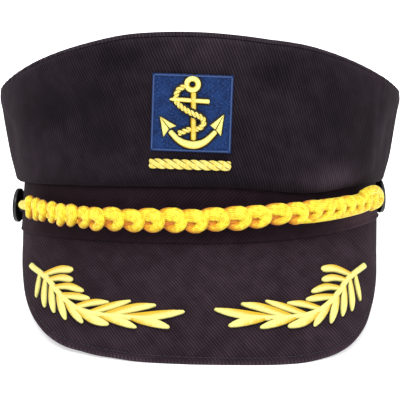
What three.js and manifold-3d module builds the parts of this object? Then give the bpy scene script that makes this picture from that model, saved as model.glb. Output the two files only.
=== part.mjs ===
// Captain hat: a soft twill crown on a band, with a stiff peak, a braided cord held by two
// side buttons, an anchor badge and two embroidered sprigs.
// Millimetres, +Z up. The front of the hat faces -Y, and left and right are the viewer's.
// The hat frame has the band's lower edge in z = 0. A turn goes round the head from the middle
// of the front, positive towards +X. The hat rests tilted back on the peak's front edge and on
// the back of the band, and both are pressed flat there.
import * as THREE from 'three';
import { mergeVertices } from 'three/addons/utils/BufferGeometryUtils.js';
import Module from 'manifold-3d';

// Head size: outside of the band
const HALF_WIDTH = 88;
const HALF_LENGTH = 99;
const BAND = { height: 26, thickness: 3, footOut: 0.3, topOut: -1.4, rounding: 1.6, turns: 56 };
const GAP = 0.3;

// How far the band's lower edge is folded up on each side
const LIFT = { right: 8, rightPower: 2.6, left: 1.4 };

// Crown wall: seam heights above the band's lower edge, and the slight turn of its peak
const SEAM = { front: 92.3, side: 67.5, back: 57, apex: -2.5, power: 1.6 };
const CROWN = { thickness: 2, frontTuck: 0.2, backTuck: 0.3, overhang: 0.3, turns: 54 };
// rise: share of the wall's height; out: how far it stands outside the band
const WALL_ROWS = [
  { rise: 0.00, out: 0.8 },
  { rise: 0.03, out: 2.3 },
  { rise: 0.10, out: 3.2 },
  { rise: 0.30, out: 5.2 },
  { rise: 0.55, out: 7.2 },
  { rise: 0.80, out: 9.2 },
  { rise: 0.94, out: 10.3 },
  { rise: 1.00, out: 10.1 },
];
// The crown sags over the band on the right of the front
const DROOP = { depth: 3.4, turn: 34, spread: 17 };
// Shallow dents of the soft wall: place, depth and how far they reach
const WALL_DENTS = [
  { turn: -42, rise: 0.55, depth: 1.8, spreadTurn: 15, spreadRise: 0.24 },
  { turn: -17, rise: 0.84, depth: 1.0, spreadTurn: 9, spreadRise: 0.12 },
  { turn: 21, rise: 0.74, depth: 1.2, spreadTurn: 8, spreadRise: 0.20 },
  { turn: -75, rise: 0.38, depth: 1.4, spreadTurn: 7, spreadRise: 0.22 },
  { turn: 72, rise: 0.50, depth: 1.6, spreadTurn: 6, spreadRise: 0.35 },
  { turn: 140, rise: 0.50, depth: 2.2, spreadTurn: 17, spreadRise: 0.30 },
  { turn: -148, rise: 0.62, depth: 1.8, spreadTurn: 15, spreadRise: 0.25 },
];

// Top panel: puffs up over the seam all round and is slightly domed
const TOP = { puff: 2.5, middle: 77.5, dome: 3.5, thickness: 2, poleShare: 0.02 };
const TOP_SHARES = [0.35, 0.65, 0.88];
// inset from the seam's line, and share of the puff reached there
const TOP_RIM = [
  { inset: 0.2, puffShare: 0 },
  { inset: 0.0, puffShare: 0.45 },
  { inset: 1.0, puffShare: 0.85 },
  { inset: 3.4, puffShare: 1.0 },
];

// Peak: its outer edge is a flattened oval in a plane that falls to the front
const PEAK = {
  halfWidth: 87.2, reach: 132.5, drop: 49.7, squareness: 4.75, frontRound: 1.75,
  thickness: 3, bow: 2.5, tuck: 0.6, endTurn: 88, turns: 42,
  leftCut: 0.025, leftCutTurn: -25, leftCutSpread: 20,
};
const PEAK_SHARES = [0, 0.2, 0.45, 0.7, 0.9, 0.985];

// Rest: tilt of the hat and height of the surface in the tilted hat frame
const REST = { tilt: 12.6, surface: -20.6 };

// Braid: one thick plaited cord across the front
const BRAID = {
  innerFace: 0.65, height: 11.4, depth: 7.4, stitches: 26, firstTurn: -61.5, lastTurn: 68,
  stepsPerStitch: 3, sides: 8, scallop: 0.11, squareness: 0.75,
};
// The braid's neck, from under the button's head to the first stitch
const BRAID_NECK = [
  { turn: 87.0, height: 4.6, depth: 1.1, innerFace: -0.1 },
  { turn: 84.8, height: 4.8, depth: 1.1, innerFace: -0.1 },
  { turn: 82.0, height: 5.0, depth: 4.2, innerFace: 0.4 },
  { turn: 72.0, height: 5.2, depth: 4.6, innerFace: 0.6 },
];
const BRAID_LINE = [
  { turn: -90, height: 13.4 },
  { turn: -60, height: 14.6 },
  { turn: -44, height: 12.6 },
  { turn: -24, height: 11.0 },
  { turn: 0, height: 11.1 },
  { turn: 14, height: 12.5 },
  { turn: 29, height: 14.1 },
  { turn: 49, height: 16.0 },
  { turn: 64, height: 18.3 },
  { turn: 80, height: 18.1 },
  { turn: 90, height: 17.4 },
];

// Side buttons: a domed head on a short shank
const BUTTON = { radius: 8.4, head: 2.8, standOff: 1.6, shank: 3, edge: 1, foot: -0.05, sides: 20 };
const BUTTON_HEIGHT = { left: 13.4, right: 17.4 };

// Badge, in its own frame: a to the right and b upwards from its middle, turned clockwise
const BADGE = { x: -3.6, height: 58.7, width: 35.5, tall: 34.5, turn: 2, thickness: 1.1 };
const RELIEF = { edge: 0.55, ridge: 1.1 };
const ANCHOR_BASE = GAP + BADGE.thickness + GAP;
const ANCHOR_RING = { a: -0.1, b: 12.5, radius: 2.55, half: 1.2, steps: 12 };
const ANCHOR_SHANK = { top: { a: 0.3, b: 10.6 }, foot: { a: 1, b: -12.2 }, half: 1.3 };
const ANCHOR_STOCK = { left: { a: -9.7, b: 5.6 }, right: { a: 7.6, b: 5.5 }, half: 1.2 };
const ANCHOR_ARMS = { radius: 11.4, a: 0.6, b: -1.2, span: 58, half: 1.9, endHalf: 1.1, steps: 9 };
const FLUKES = [
  { footA: -8.7, footB: -9.1, tipA: -13.9, tipB: -2.0, half: 3.2 },
  { footA: 10.4, footB: -7.9, tipA: 14.4, tipB: -0.3, half: 3.0 },
];
const ANCHOR_ROPE = { half: 1.15, twist: 0.14, steps: 30, stepsPerTwist: 2 };
const ROPE_LINE = [
  { a: -3.0, b: 12.3 },
  { a: -7.1, b: 7.9 },
  { a: -7.0, b: 4.3 },
  { a: -3.3, b: 1.3 },
  { a: 1.6, b: -0.9 },
  { a: 4.9, b: -3.9 },
  { a: 3.0, b: -7.0 },
  { a: -2.2, b: -7.8 },
  { a: -5.6, b: -9.7 },
];
const ROPE_BAR = { length: 36, half: 2.55, twist: 0.25, twists: 9, below: 22.8 };

// Sprigs on the peak, given for the left one: across is the share of the way from the band to
// the peak's edge. A leaf grows from the stem at its foot turn to its tip and bends by its bow.
const SPRIG = { base: 0.45, stemHalf: 1.05, stemEndHalf: 0.6, stemSteps: 12, leafHalf: 1.5 };
// The right sprig lies slightly closer to the middle, and lower where the band is folded up
const SPRIG_RIGHT = { turnShare: 0.978, drop: 0.13 };
const STEM_LINE = [
  { turn: -54.5, across: 0.55 },
  { turn: -44.0, across: 0.555 },
  { turn: -37.0, across: 0.58 },
  { turn: -30.0, across: 0.625 },
  { turn: -21.0, across: 0.65 },
  { turn: -9.0, across: 0.65 },
];
const LEAVES = [
  { foot: -43.6, tip: -33.8, tipAcross: 0.35, bow: -0.08 },
  { foot: -40.5, tip: -32.0, tipAcross: 0.44, bow: -0.06 },
  { foot: -36.6, tip: -27.3, tipAcross: 0.49, bow: -0.05 },
  { foot: -33.4, tip: -24.8, tipAcross: 0.54, bow: -0.03 },
  { foot: -27.6, tip: -20.0, tipAcross: 0.54, bow: -0.03 },
  { foot: -23.8, tip: -15.2, tipAcross: 0.51, bow: -0.02 },
  { foot: -20.2, tip: -9.7, tipAcross: 0.54, bow: -0.03 },
  { foot: -14.8, tip: -3.2, tipAcross: 0.59, bow: -0.03 },
  { foot: -46.4, tip: -42.8, tipAcross: 0.82, bow: 0.02 },
  { foot: -41.5, tip: -36.8, tipAcross: 0.82, bow: 0.03 },
  { foot: -37.8, tip: -32.6, tipAcross: 0.79, bow: 0.02 },
  { foot: -34.2, tip: -28.4, tipAcross: 0.78, bow: 0.01 },
  { foot: -30.2, tip: -24.1, tipAcross: 0.75, bow: 0.01 },
  { foot: -26.3, tip: -18.5, tipAcross: 0.72, bow: 0.03 },
  { foot: -20.0, tip: -12.6, tipAcross: 0.73, bow: 0.0 },
  { foot: -13.6, tip: -6.2, tipAcross: 0.73, bow: 0.0 },
];
const LEAF_WIDTHS = [0.4, 0.85, 1, 0.75, 0.2];

// Finishes, from the photograph
const twill = (color) => new THREE.MeshStandardMaterial({ color, roughness: 0.92, metalness: 0 });
const thread = (color) => new THREE.MeshStandardMaterial({ color, roughness: 0.55, metalness: 0 });
const CROWN_COLOUR = 0x231d24;
const BAND_COLOUR = 0x2d1f26;
const PEAK_COLOUR = 0x352e35;
const BRAID_COLOUR = 0xf5c928;
const GOLD_COLOUR = 0xf2d77a;
const BADGE_COLOUR = 0x22365f;
const BUTTON_COLOUR = 0x15141a;

const wasm = await Module();
wasm.setup();

const radians = THREE.MathUtils.degToRad;
const degrees = THREE.MathUtils.radToDeg;
const { lerp, smoothstep } = THREE.MathUtils;

/** A smooth bump of height 1 at the centre. */
const bell = (value, centre, spread) => Math.exp(-(((value - centre) / spread) ** 2));

/** Shortest way between two turns, in degrees. */
const turnBetween = (from, to) => THREE.MathUtils.euclideanModulo(to - from + 180, 360) - 180;

/** The point at a turn (radians) on the band's oval, grown outwards, at a height. */
function onOval(turn, out, height) {
  const x = (HALF_WIDTH + out) * Math.sin(turn);
  const y = -(HALF_LENGTH + out) * Math.cos(turn);
  return new THREE.Vector3(x, y, height);
}

/** A smooth curve through the rows of a table, read at a value of its first column. */
function readTable(rows, column, result, value) {
  const last = rows.length - 2;
  const index = rows.findIndex((row, i) => i > last || value <= rows[i + 1][column]);
  const from = rows[Math.min(index, last)];
  const to = rows[Math.min(index, last) + 1];
  const share = smoothstep(value, from[column], to[column]);
  const straight = THREE.MathUtils.inverseLerp(from[column], to[column], value);
  return lerp(from[result], to[result], 0.5 * (share + straight));
}

/** How high the band's lower edge lies at a turn. */
function liftAt(turn) {
  const side = Math.sin(turn);
  return side > 0 ? LIFT.right * side ** LIFT.rightPower : LIFT.left * side ** 2;
}

/** Height of the seam between the crown's wall and its top. */
function seamHeight(turn) {
  const front = Math.cos(turn - radians(SEAM.apex));
  const end = front > 0 ? SEAM.front : SEAM.back;
  return lerp(SEAM.side, end, Math.abs(front) ** SEAM.power);
}

/** Height of the crown wall's lower edge, where it hangs over the band. */
function crownFoot(turn) {
  const sag = DROOP.depth * bell(turnBetween(DROOP.turn, degrees(turn)), 0, DROOP.spread);
  return BAND.height - CROWN.overhang - sag;
}

/** Share of the wall's outward lean that is left at the front and at the back. */
function flare(turn) {
  const front = Math.cos(turn);
  return 1 - (front > 0 ? CROWN.frontTuck : CROWN.backTuck) * front ** 2;
}

/** How far the outside of the crown wall stands outside the band's oval. */
function wallOut(turn, rise) {
  const dents = WALL_DENTS.map((dent) => dent.depth
    * bell(turnBetween(dent.turn, degrees(turn)), 0, dent.spreadTurn)
    * bell(rise, dent.rise, dent.spreadRise));
  const dented = dents.reduce((sum, depth) => sum + depth, 0);
  const index = WALL_ROWS.findIndex((row) => row.rise >= rise - 1e-9);
  const above = WALL_ROWS[Math.max(index, 1)];
  const below = WALL_ROWS[Math.max(index, 1) - 1];
  const share = (rise - below.rise) / (above.rise - below.rise);
  return lerp(below.out, above.out, share) * flare(turn) - dented;
}

/** A point of the crown wall: rise is 0 at its lower edge and 1 at the seam. */
function wallPoint(turn, rise, inwards = 0) {
  const height = lerp(crownFoot(turn), seamHeight(turn), rise);
  return onOval(turn, wallOut(turn, rise) - inwards, height);
}

/** Lifts a point that would lie below the surface that the hat rests on. */
function pressOnSurface(point) {
  const up = new THREE.Vector3(0, -Math.sin(radians(REST.tilt)), Math.cos(radians(REST.tilt)));
  const depth = REST.surface - point.dot(up);
  return depth > 0 ? point.addScaledVector(up, depth) : point;
}

/** Turns spread evenly over a range, in radians. */
const turnsOver = (from, to, count) => Array.from(
  { length: count + 1 },
  (_, i) => radians(lerp(from, to, i / count)),
);
const turnsRound = (count) => turnsOver(0, 360, count).slice(0, count);

/** Faces that close a ring of points, joined in pairs across it. */
function capFaces(ring) {
  const faces = [];
  const last = ring.length - 1;
  for (let i = 0; i + 1 < last - i; i += 1) {
    faces.push([ring[i], ring[i + 1], ring[last - i]]);
    if (i + 1 < last - i - 1) {
      faces.push([ring[i + 1], ring[last - i - 1], ring[last - i]]);
    }
  }
  return faces;
}

/** A closed body through rings of equally many points; closed joins the last to the first. */
function skin(rings, closed = false) {
  const count = rings[0].length;
  const at = (ring, i) => (ring % rings.length) * count + (i % count);
  const faces = [];
  const spans = closed ? rings.length : rings.length - 1;
  for (let ring = 0; ring < spans; ring += 1) {
    for (let i = 0; i < count; i += 1) {
      faces.push([at(ring, i), at(ring, i + 1), at(ring + 1, i + 1)]);
      faces.push([at(ring, i), at(ring + 1, i + 1), at(ring + 1, i)]);
    }
  }
  if (!closed) {
    const places = rings[0].map((_, i) => i);
    const firstCap = capFaces(places.map((i) => at(0, i)));
    faces.push(...firstCap.map((face) => face.reverse()));
    faces.push(...capFaces(places.map((i) => at(rings.length - 1, i))));
  }
  const points = rings.flat();
  const volume = faces.reduce((sum, [a, b, c]) => {
    const normal = new THREE.Vector3().crossVectors(points[b], points[c]);
    return sum + points[a].dot(normal);
  }, 0);
  const outward = volume > 0 ? faces : faces.map(([a, b, c]) => [a, c, b]);
  const geometry = new THREE.BufferGeometry().setFromPoints(points);
  geometry.setIndex(outward.flat());
  return geometry;
}

/** Joins closed geometries into one. */
function join(geometries) {
  const solids = geometries.map((geometry) => {
    const merged = mergeVertices(geometry, 1e-5);
    return new wasm.Manifold(new wasm.Mesh({
      numProp: 3,
      vertProperties: Float32Array.from(merged.attributes.position.array),
      triVerts: Uint32Array.from(merged.index.array),
    }));
  });
  const mesh = solids.reduce((whole, solid) => whole.add(solid)).getMesh();
  const geometry = new THREE.BufferGeometry();
  geometry.setAttribute('position', new THREE.BufferAttribute(mesh.vertProperties, 3));
  geometry.setIndex(new THREE.BufferAttribute(mesh.triVerts, 1));
  return geometry;
}

/** A mesh of its own name and finish, with normals for its faces. */
function part(name, geometry, material) {
  geometry.computeVertexNormals();
  const mesh = new THREE.Mesh(geometry, material);
  mesh.name = name;
  return mesh;
}

/** The band: an upright strip round the head with a rounded lower edge. */
function makeBand() {
  const section = (turn) => {
    const lift = liftAt(turn);
    const { height, thickness, footOut, topOut, rounding } = BAND;
    const middle = lerp(lift, height, 0.5);
    const middleOut = 0.5 * (footOut + topOut);
    return [
      onOval(turn, footOut - 0.7, lift),
      onOval(turn, footOut, lift + rounding),
      onOval(turn, middleOut, middle),
      onOval(turn, topOut, height - 1),
      onOval(turn, topOut - 0.6, height),
      onOval(turn, topOut - thickness, height),
      onOval(turn, middleOut - thickness, middle),
      onOval(turn, footOut - thickness, lift),
    ].map(pressOnSurface);
  };
  return skin(turnsRound(BAND.turns).map(section), true);
}

/** The crown's wall: tucked over the band, leaning out, with soft dents. */
function makeCrownWall() {
  const bandTop = BAND.height + GAP;
  const clear = BAND.topOut + 0.4;
  const outside = WALL_ROWS.slice(1).map((row) => row.rise);
  const inside = WALL_ROWS.slice(2).filter((row) => row.rise !== 0.94).map((row) => row.rise);
  const section = (turn) => [
    onOval(turn, BAND.topOut - CROWN.thickness, bandTop),
    onOval(turn, clear, bandTop),
    onOval(turn, clear, crownFoot(turn) + 0.2),
    onOval(turn, clear + 1.3, crownFoot(turn)),
    ...outside.map((rise) => wallPoint(turn, rise)),
    ...inside.reverse().map((rise) => wallPoint(turn, rise, CROWN.thickness)),
  ];
  return skin(turnsRound(CROWN.turns).map((turn) => section(turn)), true);
}

/** Height of the outside of the top panel at a turn, and a share of the way to the seam. */
function topHeight(turn, share) {
  const rim = seamHeight(turn) + TOP.puff;
  const fall = 0.5 * (SEAM.front - SEAM.back) * Math.cos(turn);
  const curve = TOP.middle + fall * share + (rim - TOP.middle - fall) * share ** 2;
  return curve + TOP.dome * (1 - share ** 2) * share ** 0.5;
}

/** The crown's top panel, a thin dished sheet that covers the wall's seam. */
function makeCrownTop() {
  const turns = turnsRound(CROWN.turns);
  const inner = (share, down) => turns.map((turn) => {
    const point = onOval(turn, wallOut(turn, 1), topHeight(turn, share) - down);
    return new THREE.Vector3(point.x * share, point.y * share, point.z);
  });
  const rim = (row) => turns.map((turn) => {
    const height = seamHeight(turn) + GAP + (TOP.puff - GAP) * row.puffShare;
    return onOval(turn, wallOut(turn, 1) - row.inset, height);
  });
  const shares = [TOP.poleShare, ...TOP_SHARES];
  return skin([
    ...shares.map((share) => inner(share, TOP.thickness)),
    ...TOP_RIM.map(rim),
    ...shares.reverse().map((share) => inner(share, 0)),
  ]);
}

/** A point of the peak's outer edge. */
function peakEdge(turn) {
  const side = (Math.abs(Math.sin(turn)) / PEAK.halfWidth);
  const front = (Math.cos(turn) / PEAK.reach);
  let [near, far] = [50, 200];
  for (let i = 0; i < 40; i += 1) {
    const middle = 0.5 * (near + far);
    const inside = (middle * side) ** PEAK.squareness + (middle * front) ** PEAK.frontRound < 1;
    [near, far] = inside ? [middle, far] : [near, middle];
  }
  const cut = PEAK.leftCut * bell(degrees(turn), PEAK.leftCutTurn, PEAK.leftCutSpread);
  const radius = near * (1 - cut);
  const y = -radius * Math.cos(turn);
  return new THREE.Vector3(radius * Math.sin(turn), y, (PEAK.drop * y) / PEAK.reach);
}

/** The peak's outside at a turn (radians): its point and its outward direction. */
function peakChart(turn, share) {
  const root = onOval(turn, -PEAK.tuck, liftAt(turn) - GAP);
  const edge = peakEdge(turn);
  const along = edge.clone().sub(root);
  const length = along.length();
  along.normalize();
  const normal = new THREE.Vector3(Math.sin(turn), -Math.cos(turn), 0.7);
  normal.addScaledVector(along, -normal.dot(along)).normalize();
  const bow = PEAK.bow * Math.min(1, length / 60) * 4 * share * (1 - share);
  const point = root.addScaledVector(along, length * share).addScaledVector(normal, bow);
  return { point, normal };
}

/** The peak: a stiff bowed tongue under the front of the band. */
function makePeak() {
  const section = (turn) => {
    const outside = PEAK_SHARES.map((share) => peakChart(turn, share).point);
    const { normal } = peakChart(turn, 1);
    const lip = peakEdge(turn);
    const inside = PEAK_SHARES.slice(1).map((share) => {
      const chart = peakChart(turn, share);
      return chart.point.addScaledVector(chart.normal, -PEAK.thickness);
    });
    const root = onOval(turn, -PEAK.tuck - PEAK.thickness, liftAt(turn) - GAP);
    return [
      ...outside,
      lip.clone().addScaledVector(normal, -0.25 * PEAK.thickness),
      lip.clone().addScaledVector(normal, -0.75 * PEAK.thickness),
      ...inside.reverse(),
      root,
    ].map(pressOnSurface);
  };
  return skin(turnsOver(-PEAK.endTurn, PEAK.endTurn, PEAK.turns).map(section));
}

/** A ring of the braid's section, whose flat side lies at innerFace outside the band. */
function braidRing(turn, height, depth, innerFace) {
  const middle = readTable(BRAID_LINE, 'turn', 'height', degrees(turn));
  const out = innerFace + 0.5 * depth;
  return Array.from({ length: BRAID.sides }, (_, i) => {
    const angle = (i / BRAID.sides) * 2 * Math.PI;
    const across = Math.sign(Math.cos(angle)) * Math.abs(Math.cos(angle)) ** BRAID.squareness;
    return onOval(turn, out + 0.5 * depth * across, middle + 0.5 * height * Math.sin(angle));
  });
}

/** The braid: a thick cord with a scallop for each stitch, and a flat neck at each button. */
function makeBraid() {
  const steps = BRAID.stitches * BRAID.stepsPerStitch;
  const turns = turnsOver(BRAID.firstTurn, BRAID.lastTurn, steps);
  const rings = turns.map((turn, i) => {
    const share = (i % BRAID.stepsPerStitch) / BRAID.stepsPerStitch;
    const scallop = 1 - BRAID.scallop * (1 - Math.sin(Math.PI * share));
    const ends = Math.min(1, 0.62 + 0.5 * Math.min(i, steps - i) / BRAID.stepsPerStitch);
    const size = scallop * ends;
    return braidRing(turn, BRAID.height * size, BRAID.depth * size, BRAID.innerFace);
  });
  const neck = (side) => BRAID_NECK.map((row) => braidRing(
    side * radians(row.turn), row.height, row.depth, row.innerFace,
  ));
  return skin([...neck(-1), ...rings, ...neck(1).reverse()]);
}

/** A side button, standing on its shank: side is -1 on the left and 1 on the right. */
function makeButton(side) {
  const { radius, head, standOff, shank, edge, sides } = BUTTON;
  const dome = [0.8, 0.5].map((share) => [radius * share, standOff + head - edge * share ** 3]);
  const profile = [
    [0, 0],
    [shank, 0],
    [shank, standOff],
    [radius - 0.4 * edge, standOff],
    [radius, standOff + 0.4 * edge],
    [radius, standOff + head - 1.6 * edge],
    ...dome,
    [0, standOff + head],
  ];
  const points = profile.map(([across, along]) => new THREE.Vector2(across, along));
  const geometry = new THREE.LatheGeometry(points, sides);
  const height = side < 0 ? BUTTON_HEIGHT.left : BUTTON_HEIGHT.right;
  const mesh = part(side < 0 ? 'button_left' : 'button_right', geometry, thread(BUTTON_COLOUR));
  mesh.rotation.z = -side * Math.PI / 2;
  mesh.position.set(side * (HALF_WIDTH + BUTTON.foot), 0, height);
  return mesh;
}

/** The crown's outside in front, at a place in the badge's frame. */
function badgeChart(a, b) {
  const turn = radians(BADGE.turn);
  const place = (da, db) => {
    const x = BADGE.x + (a + da) * Math.cos(turn) + (b + db) * Math.sin(turn);
    const height = BADGE.height - (a + da) * Math.sin(turn) + (b + db) * Math.cos(turn);
    let angle = Math.asin(x / HALF_WIDTH);
    let rise = 0;
    for (let i = 0; i < 4; i += 1) {
      rise = (height - crownFoot(angle)) / (seamHeight(angle) - crownFoot(angle));
      angle = Math.asin(x / (HALF_WIDTH + wallOut(angle, rise)));
    }
    return wallPoint(angle, rise);
  };
  const point = place(0, 0);
  const alongA = place(1, 0).sub(place(-1, 0));
  const alongB = place(0, 1).sub(place(0, -1));
  return { point, normal: alongA.cross(alongB).normalize() };
}

/** A raised strap along a path on a chart: half its width and its relief at each step. */
function strap(chart, path, halfAt, base, relief = RELIEF, closed = false) {
  const spots = path.map(([u, v]) => chart(u, v));
  const last = spots.length - 1;
  const rings = spots.map(({ point, normal }, i) => {
    const before = spots[closed ? (i + last) % (last + 1) : Math.max(i - 1, 0)].point;
    const after = spots[closed ? (i + 1) % (last + 1) : Math.min(i + 1, last)].point;
    const along = after.clone().sub(before);
    const side = normal.clone().cross(along).normalize().multiplyScalar(halfAt(i / last, i));
    const at = (across, up) => point.clone().addScaledVector(side, across)
      .addScaledVector(normal, base + up);
    return [at(-1, 0), at(1, 0), at(1, relief.edge), at(0, relief.ridge), at(-1, relief.edge)];
  });
  return skin(rings, closed);
}

/** Points spread evenly along a smooth curve through places [u, v]. */
function smoothPath(places, steps) {
  const curve = new THREE.CatmullRomCurve3(places.map(([u, v]) => new THREE.Vector3(u, v, 0)));
  return curve.getPoints(steps).map((point) => [point.x, point.y]);
}

/** The badge: a thin square of cloth that follows the crown. */
function makeBadge() {
  const columns = Array.from({ length: 8 }, (_, i) => BADGE.width * (i / 7 - 0.5));
  const rows = Array.from({ length: 6 }, (_, i) => BADGE.tall * (i / 5 - 0.5));
  const at = (a, b, up) => {
    const { point, normal } = badgeChart(a, b);
    return point.addScaledVector(normal, up);
  };
  return skin(rows.map((b) => [
    ...columns.map((a) => at(a, b, GAP)),
    ...columns.toReversed().map((a) => at(a, b, GAP + BADGE.thickness)),
  ]));
}

/** The anchor with its rope, raised from the badge. */
function makeAnchor() {
  const raised = (path, halfAt, relief, closed) => strap(
    badgeChart, path, halfAt, ANCHOR_BASE, relief, closed,
  );
  const { a, b, radius, half, steps } = ANCHOR_RING;
  const ring = turnsRound(steps).map((turn) => [
    a + radius * Math.sin(turn),
    b + radius * Math.cos(turn),
  ]);
  const line = (from, to, count) => Array.from(
    { length: count + 1 },
    (_, i) => [lerp(from.a, to.a, i / count), lerp(from.b, to.b, i / count)],
  );
  const arms = ANCHOR_ARMS;
  const armPath = turnsOver(-arms.span, arms.span, arms.steps).map((turn) => [
    arms.a + arms.radius * Math.sin(turn),
    arms.b - arms.radius * Math.cos(turn),
  ]);
  const armHalf = (share) => lerp(arms.endHalf, arms.half, Math.sin(Math.PI * share));
  const fluke = ({ footA, footB, tipA, tipB, half: wide }) => raised(
    line({ a: footA, b: footB }, { a: tipA, b: tipB }, 3),
    (share) => wide * (1 - 0.92 * share),
  );
  const rope = ANCHOR_ROPE;
  const ropeHalf = (_, i) => rope.half * (1 - rope.twist * (i % rope.stepsPerTwist));
  return join([
    raised(ring, () => half, RELIEF, true),
    raised(line(ANCHOR_SHANK.top, ANCHOR_SHANK.foot, 8), () => ANCHOR_SHANK.half),
    raised(line(ANCHOR_STOCK.left, ANCHOR_STOCK.right, 5), () => ANCHOR_STOCK.half),
    raised(armPath, armHalf),
    ...FLUKES.map(fluke),
    raised(smoothPath(ROPE_LINE.map((row) => [row.a, row.b]), rope.steps), ropeHalf,
      { edge: 0.6, ridge: 1.3 }),
  ]);
}

/** A short rope-twist bar under the badge. */
function makeRopeBar() {
  const steps = 2 * ROPE_BAR.twists;
  const path = Array.from(
    { length: steps + 1 },
    (_, i) => [ROPE_BAR.length * (i / steps - 0.5), -ROPE_BAR.below],
  );
  const half = (_, i) => ROPE_BAR.half - ROPE_BAR.twist * ((i + 1) % 2);
  return strap(badgeChart, path, half, GAP);
}

/** One sprig of leaves on the peak: side is -1 on the left and 1 on the right. */
function makeSprig(side) {
  const chart = (turn, across) => {
    if (side < 0) return peakChart(radians(turn), across);
    const drop = SPRIG_RIGHT.drop * (turn / 90) ** 2;
    return peakChart(radians(-turn * SPRIG_RIGHT.turnShare), across + drop);
  };
  const stem = smoothPath(STEM_LINE.map((row) => [row.turn, row.across]), SPRIG.stemSteps);
  const leaf = ({ foot, tip, tipAcross, bow }) => {
    const start = [foot, readTable(STEM_LINE, 'turn', 'across', foot)];
    const bend = [0.5 * (foot + tip), 0.5 * (start[1] + tipAcross) + bow];
    const path = smoothPath([start, bend, [tip, tipAcross]], LEAF_WIDTHS.length - 1);
    return strap(chart, path, (_, i) => SPRIG.leafHalf * LEAF_WIDTHS[i], SPRIG.base);
  };
  return join([
    strap(chart, stem, (share) => lerp(SPRIG.stemHalf, SPRIG.stemEndHalf, share), SPRIG.base),
    ...LEAVES.map(leaf),
  ]);
}

/** All pieces in the hat frame. */
function makeHat() {
  const hat = new THREE.Group();
  hat.add(
    part('crown_top', makeCrownTop(), twill(CROWN_COLOUR)),
    part('crown_wall', makeCrownWall(), twill(CROWN_COLOUR)),
    part('band', makeBand(), twill(BAND_COLOUR)),
    part('peak', makePeak(), twill(PEAK_COLOUR)),
    part('braid', makeBraid(), thread(BRAID_COLOUR)),
    makeButton(-1),
    makeButton(1),
    part('badge', makeBadge(), thread(BADGE_COLOUR)),
    part('anchor', makeAnchor(), thread(GOLD_COLOUR)),
    part('rope_bar', makeRopeBar(), thread(GOLD_COLOUR)),
    part('sprig_left', makeSprig(-1), thread(GOLD_COLOUR)),
    part('sprig_right', makeSprig(1), thread(GOLD_COLOUR)),
  );
  return hat;
}

/** The hat tilted back to rest, with the middle of its footprint at the origin. */
function restHat(hat) {
  hat.rotation.x = -radians(REST.tilt);
  const resting = new THREE.Group();
  resting.add(hat);
  resting.updateMatrixWorld(true);
  const box = new THREE.Box3().setFromObject(resting, true);
  const middle = box.getCenter(new THREE.Vector3());
  resting.position.set(-middle.x, -middle.y, -box.min.z);
  return resting;
}

const captainHat = new THREE.Group();
captainHat.add(restHat(makeHat()));

export default captainHat;
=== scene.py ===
"""Looks of a captain hat: twill crown, band and peak, a looped gold cord and embroidery.

All tables are in millimetres and degrees in the hat frame: the band's lower edge lies in
z = 0, the front faces -Y, and a turn goes round the head from the middle of the front,
positive towards +X. HatForm.world gives the place in metres of the hat as it rests.
"""

from __future__ import annotations

import logging
import math
from collections.abc import Callable, Sequence
from dataclasses import dataclass, field, replace
from enum import Enum

import bpy
import numpy as np
from mathutils import Matrix, Vector

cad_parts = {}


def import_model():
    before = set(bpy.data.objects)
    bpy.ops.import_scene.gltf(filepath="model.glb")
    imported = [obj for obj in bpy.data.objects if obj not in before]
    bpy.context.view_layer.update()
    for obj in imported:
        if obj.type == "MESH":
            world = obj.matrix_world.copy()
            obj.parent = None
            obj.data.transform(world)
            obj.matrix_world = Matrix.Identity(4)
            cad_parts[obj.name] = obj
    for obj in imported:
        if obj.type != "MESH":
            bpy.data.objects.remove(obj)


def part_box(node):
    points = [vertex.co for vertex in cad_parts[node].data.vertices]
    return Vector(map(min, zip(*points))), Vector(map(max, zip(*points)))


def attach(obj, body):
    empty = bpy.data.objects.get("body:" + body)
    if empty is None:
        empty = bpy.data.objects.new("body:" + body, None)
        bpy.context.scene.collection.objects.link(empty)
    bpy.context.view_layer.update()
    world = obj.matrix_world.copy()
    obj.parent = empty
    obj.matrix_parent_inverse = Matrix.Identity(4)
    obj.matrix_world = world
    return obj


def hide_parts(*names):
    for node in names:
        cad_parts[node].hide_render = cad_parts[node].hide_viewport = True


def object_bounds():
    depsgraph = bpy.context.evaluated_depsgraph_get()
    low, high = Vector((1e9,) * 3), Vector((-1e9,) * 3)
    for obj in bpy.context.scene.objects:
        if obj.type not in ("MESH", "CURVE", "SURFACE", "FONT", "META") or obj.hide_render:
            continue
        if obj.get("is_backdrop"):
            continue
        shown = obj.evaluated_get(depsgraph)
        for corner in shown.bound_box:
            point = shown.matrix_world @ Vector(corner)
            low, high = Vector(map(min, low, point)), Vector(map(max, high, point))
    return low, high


LOG = logging.getLogger("captain_hat")
Array = np.ndarray
Colour = tuple[float, float, float]
Place = tuple[float, float, float]
Pair = tuple[float, float]
Pairs = tuple[Pair, ...]
Row = tuple[float, float, float, float]
Rows = tuple[Row, ...]
Line = Sequence[Sequence[float]] | Array
Material = bpy.types.Material
Socket = bpy.types.NodeSocket
Node = bpy.types.Node
Object = bpy.types.Object

MM = 0.001
BODY = "root"
WEAVE = "weave"
MERGE_DISTANCE = 1e-6
SKIRT_FOOT = -0.12
SPAN_STEPS = 40
ARC_STEPS = 2881
PILLOW_BULGE = 0.8
PILLOW_ROUND = 0.75
SKIRT_WAY = 0.2
STRAP_LIFT = 0.12
SATIN_SIDES = 14
FILL_STEPS = 26
FILL_OUTLINE = 0.75
STRAND_SIDES = 12
# The rope's painted shade, and how far in from its strands' sides the painted dark lines between them
# reach.
ROPE_PAINTED_SHADE = 0.4
ROPE_CREVICE_SHADE = 0.18


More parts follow.
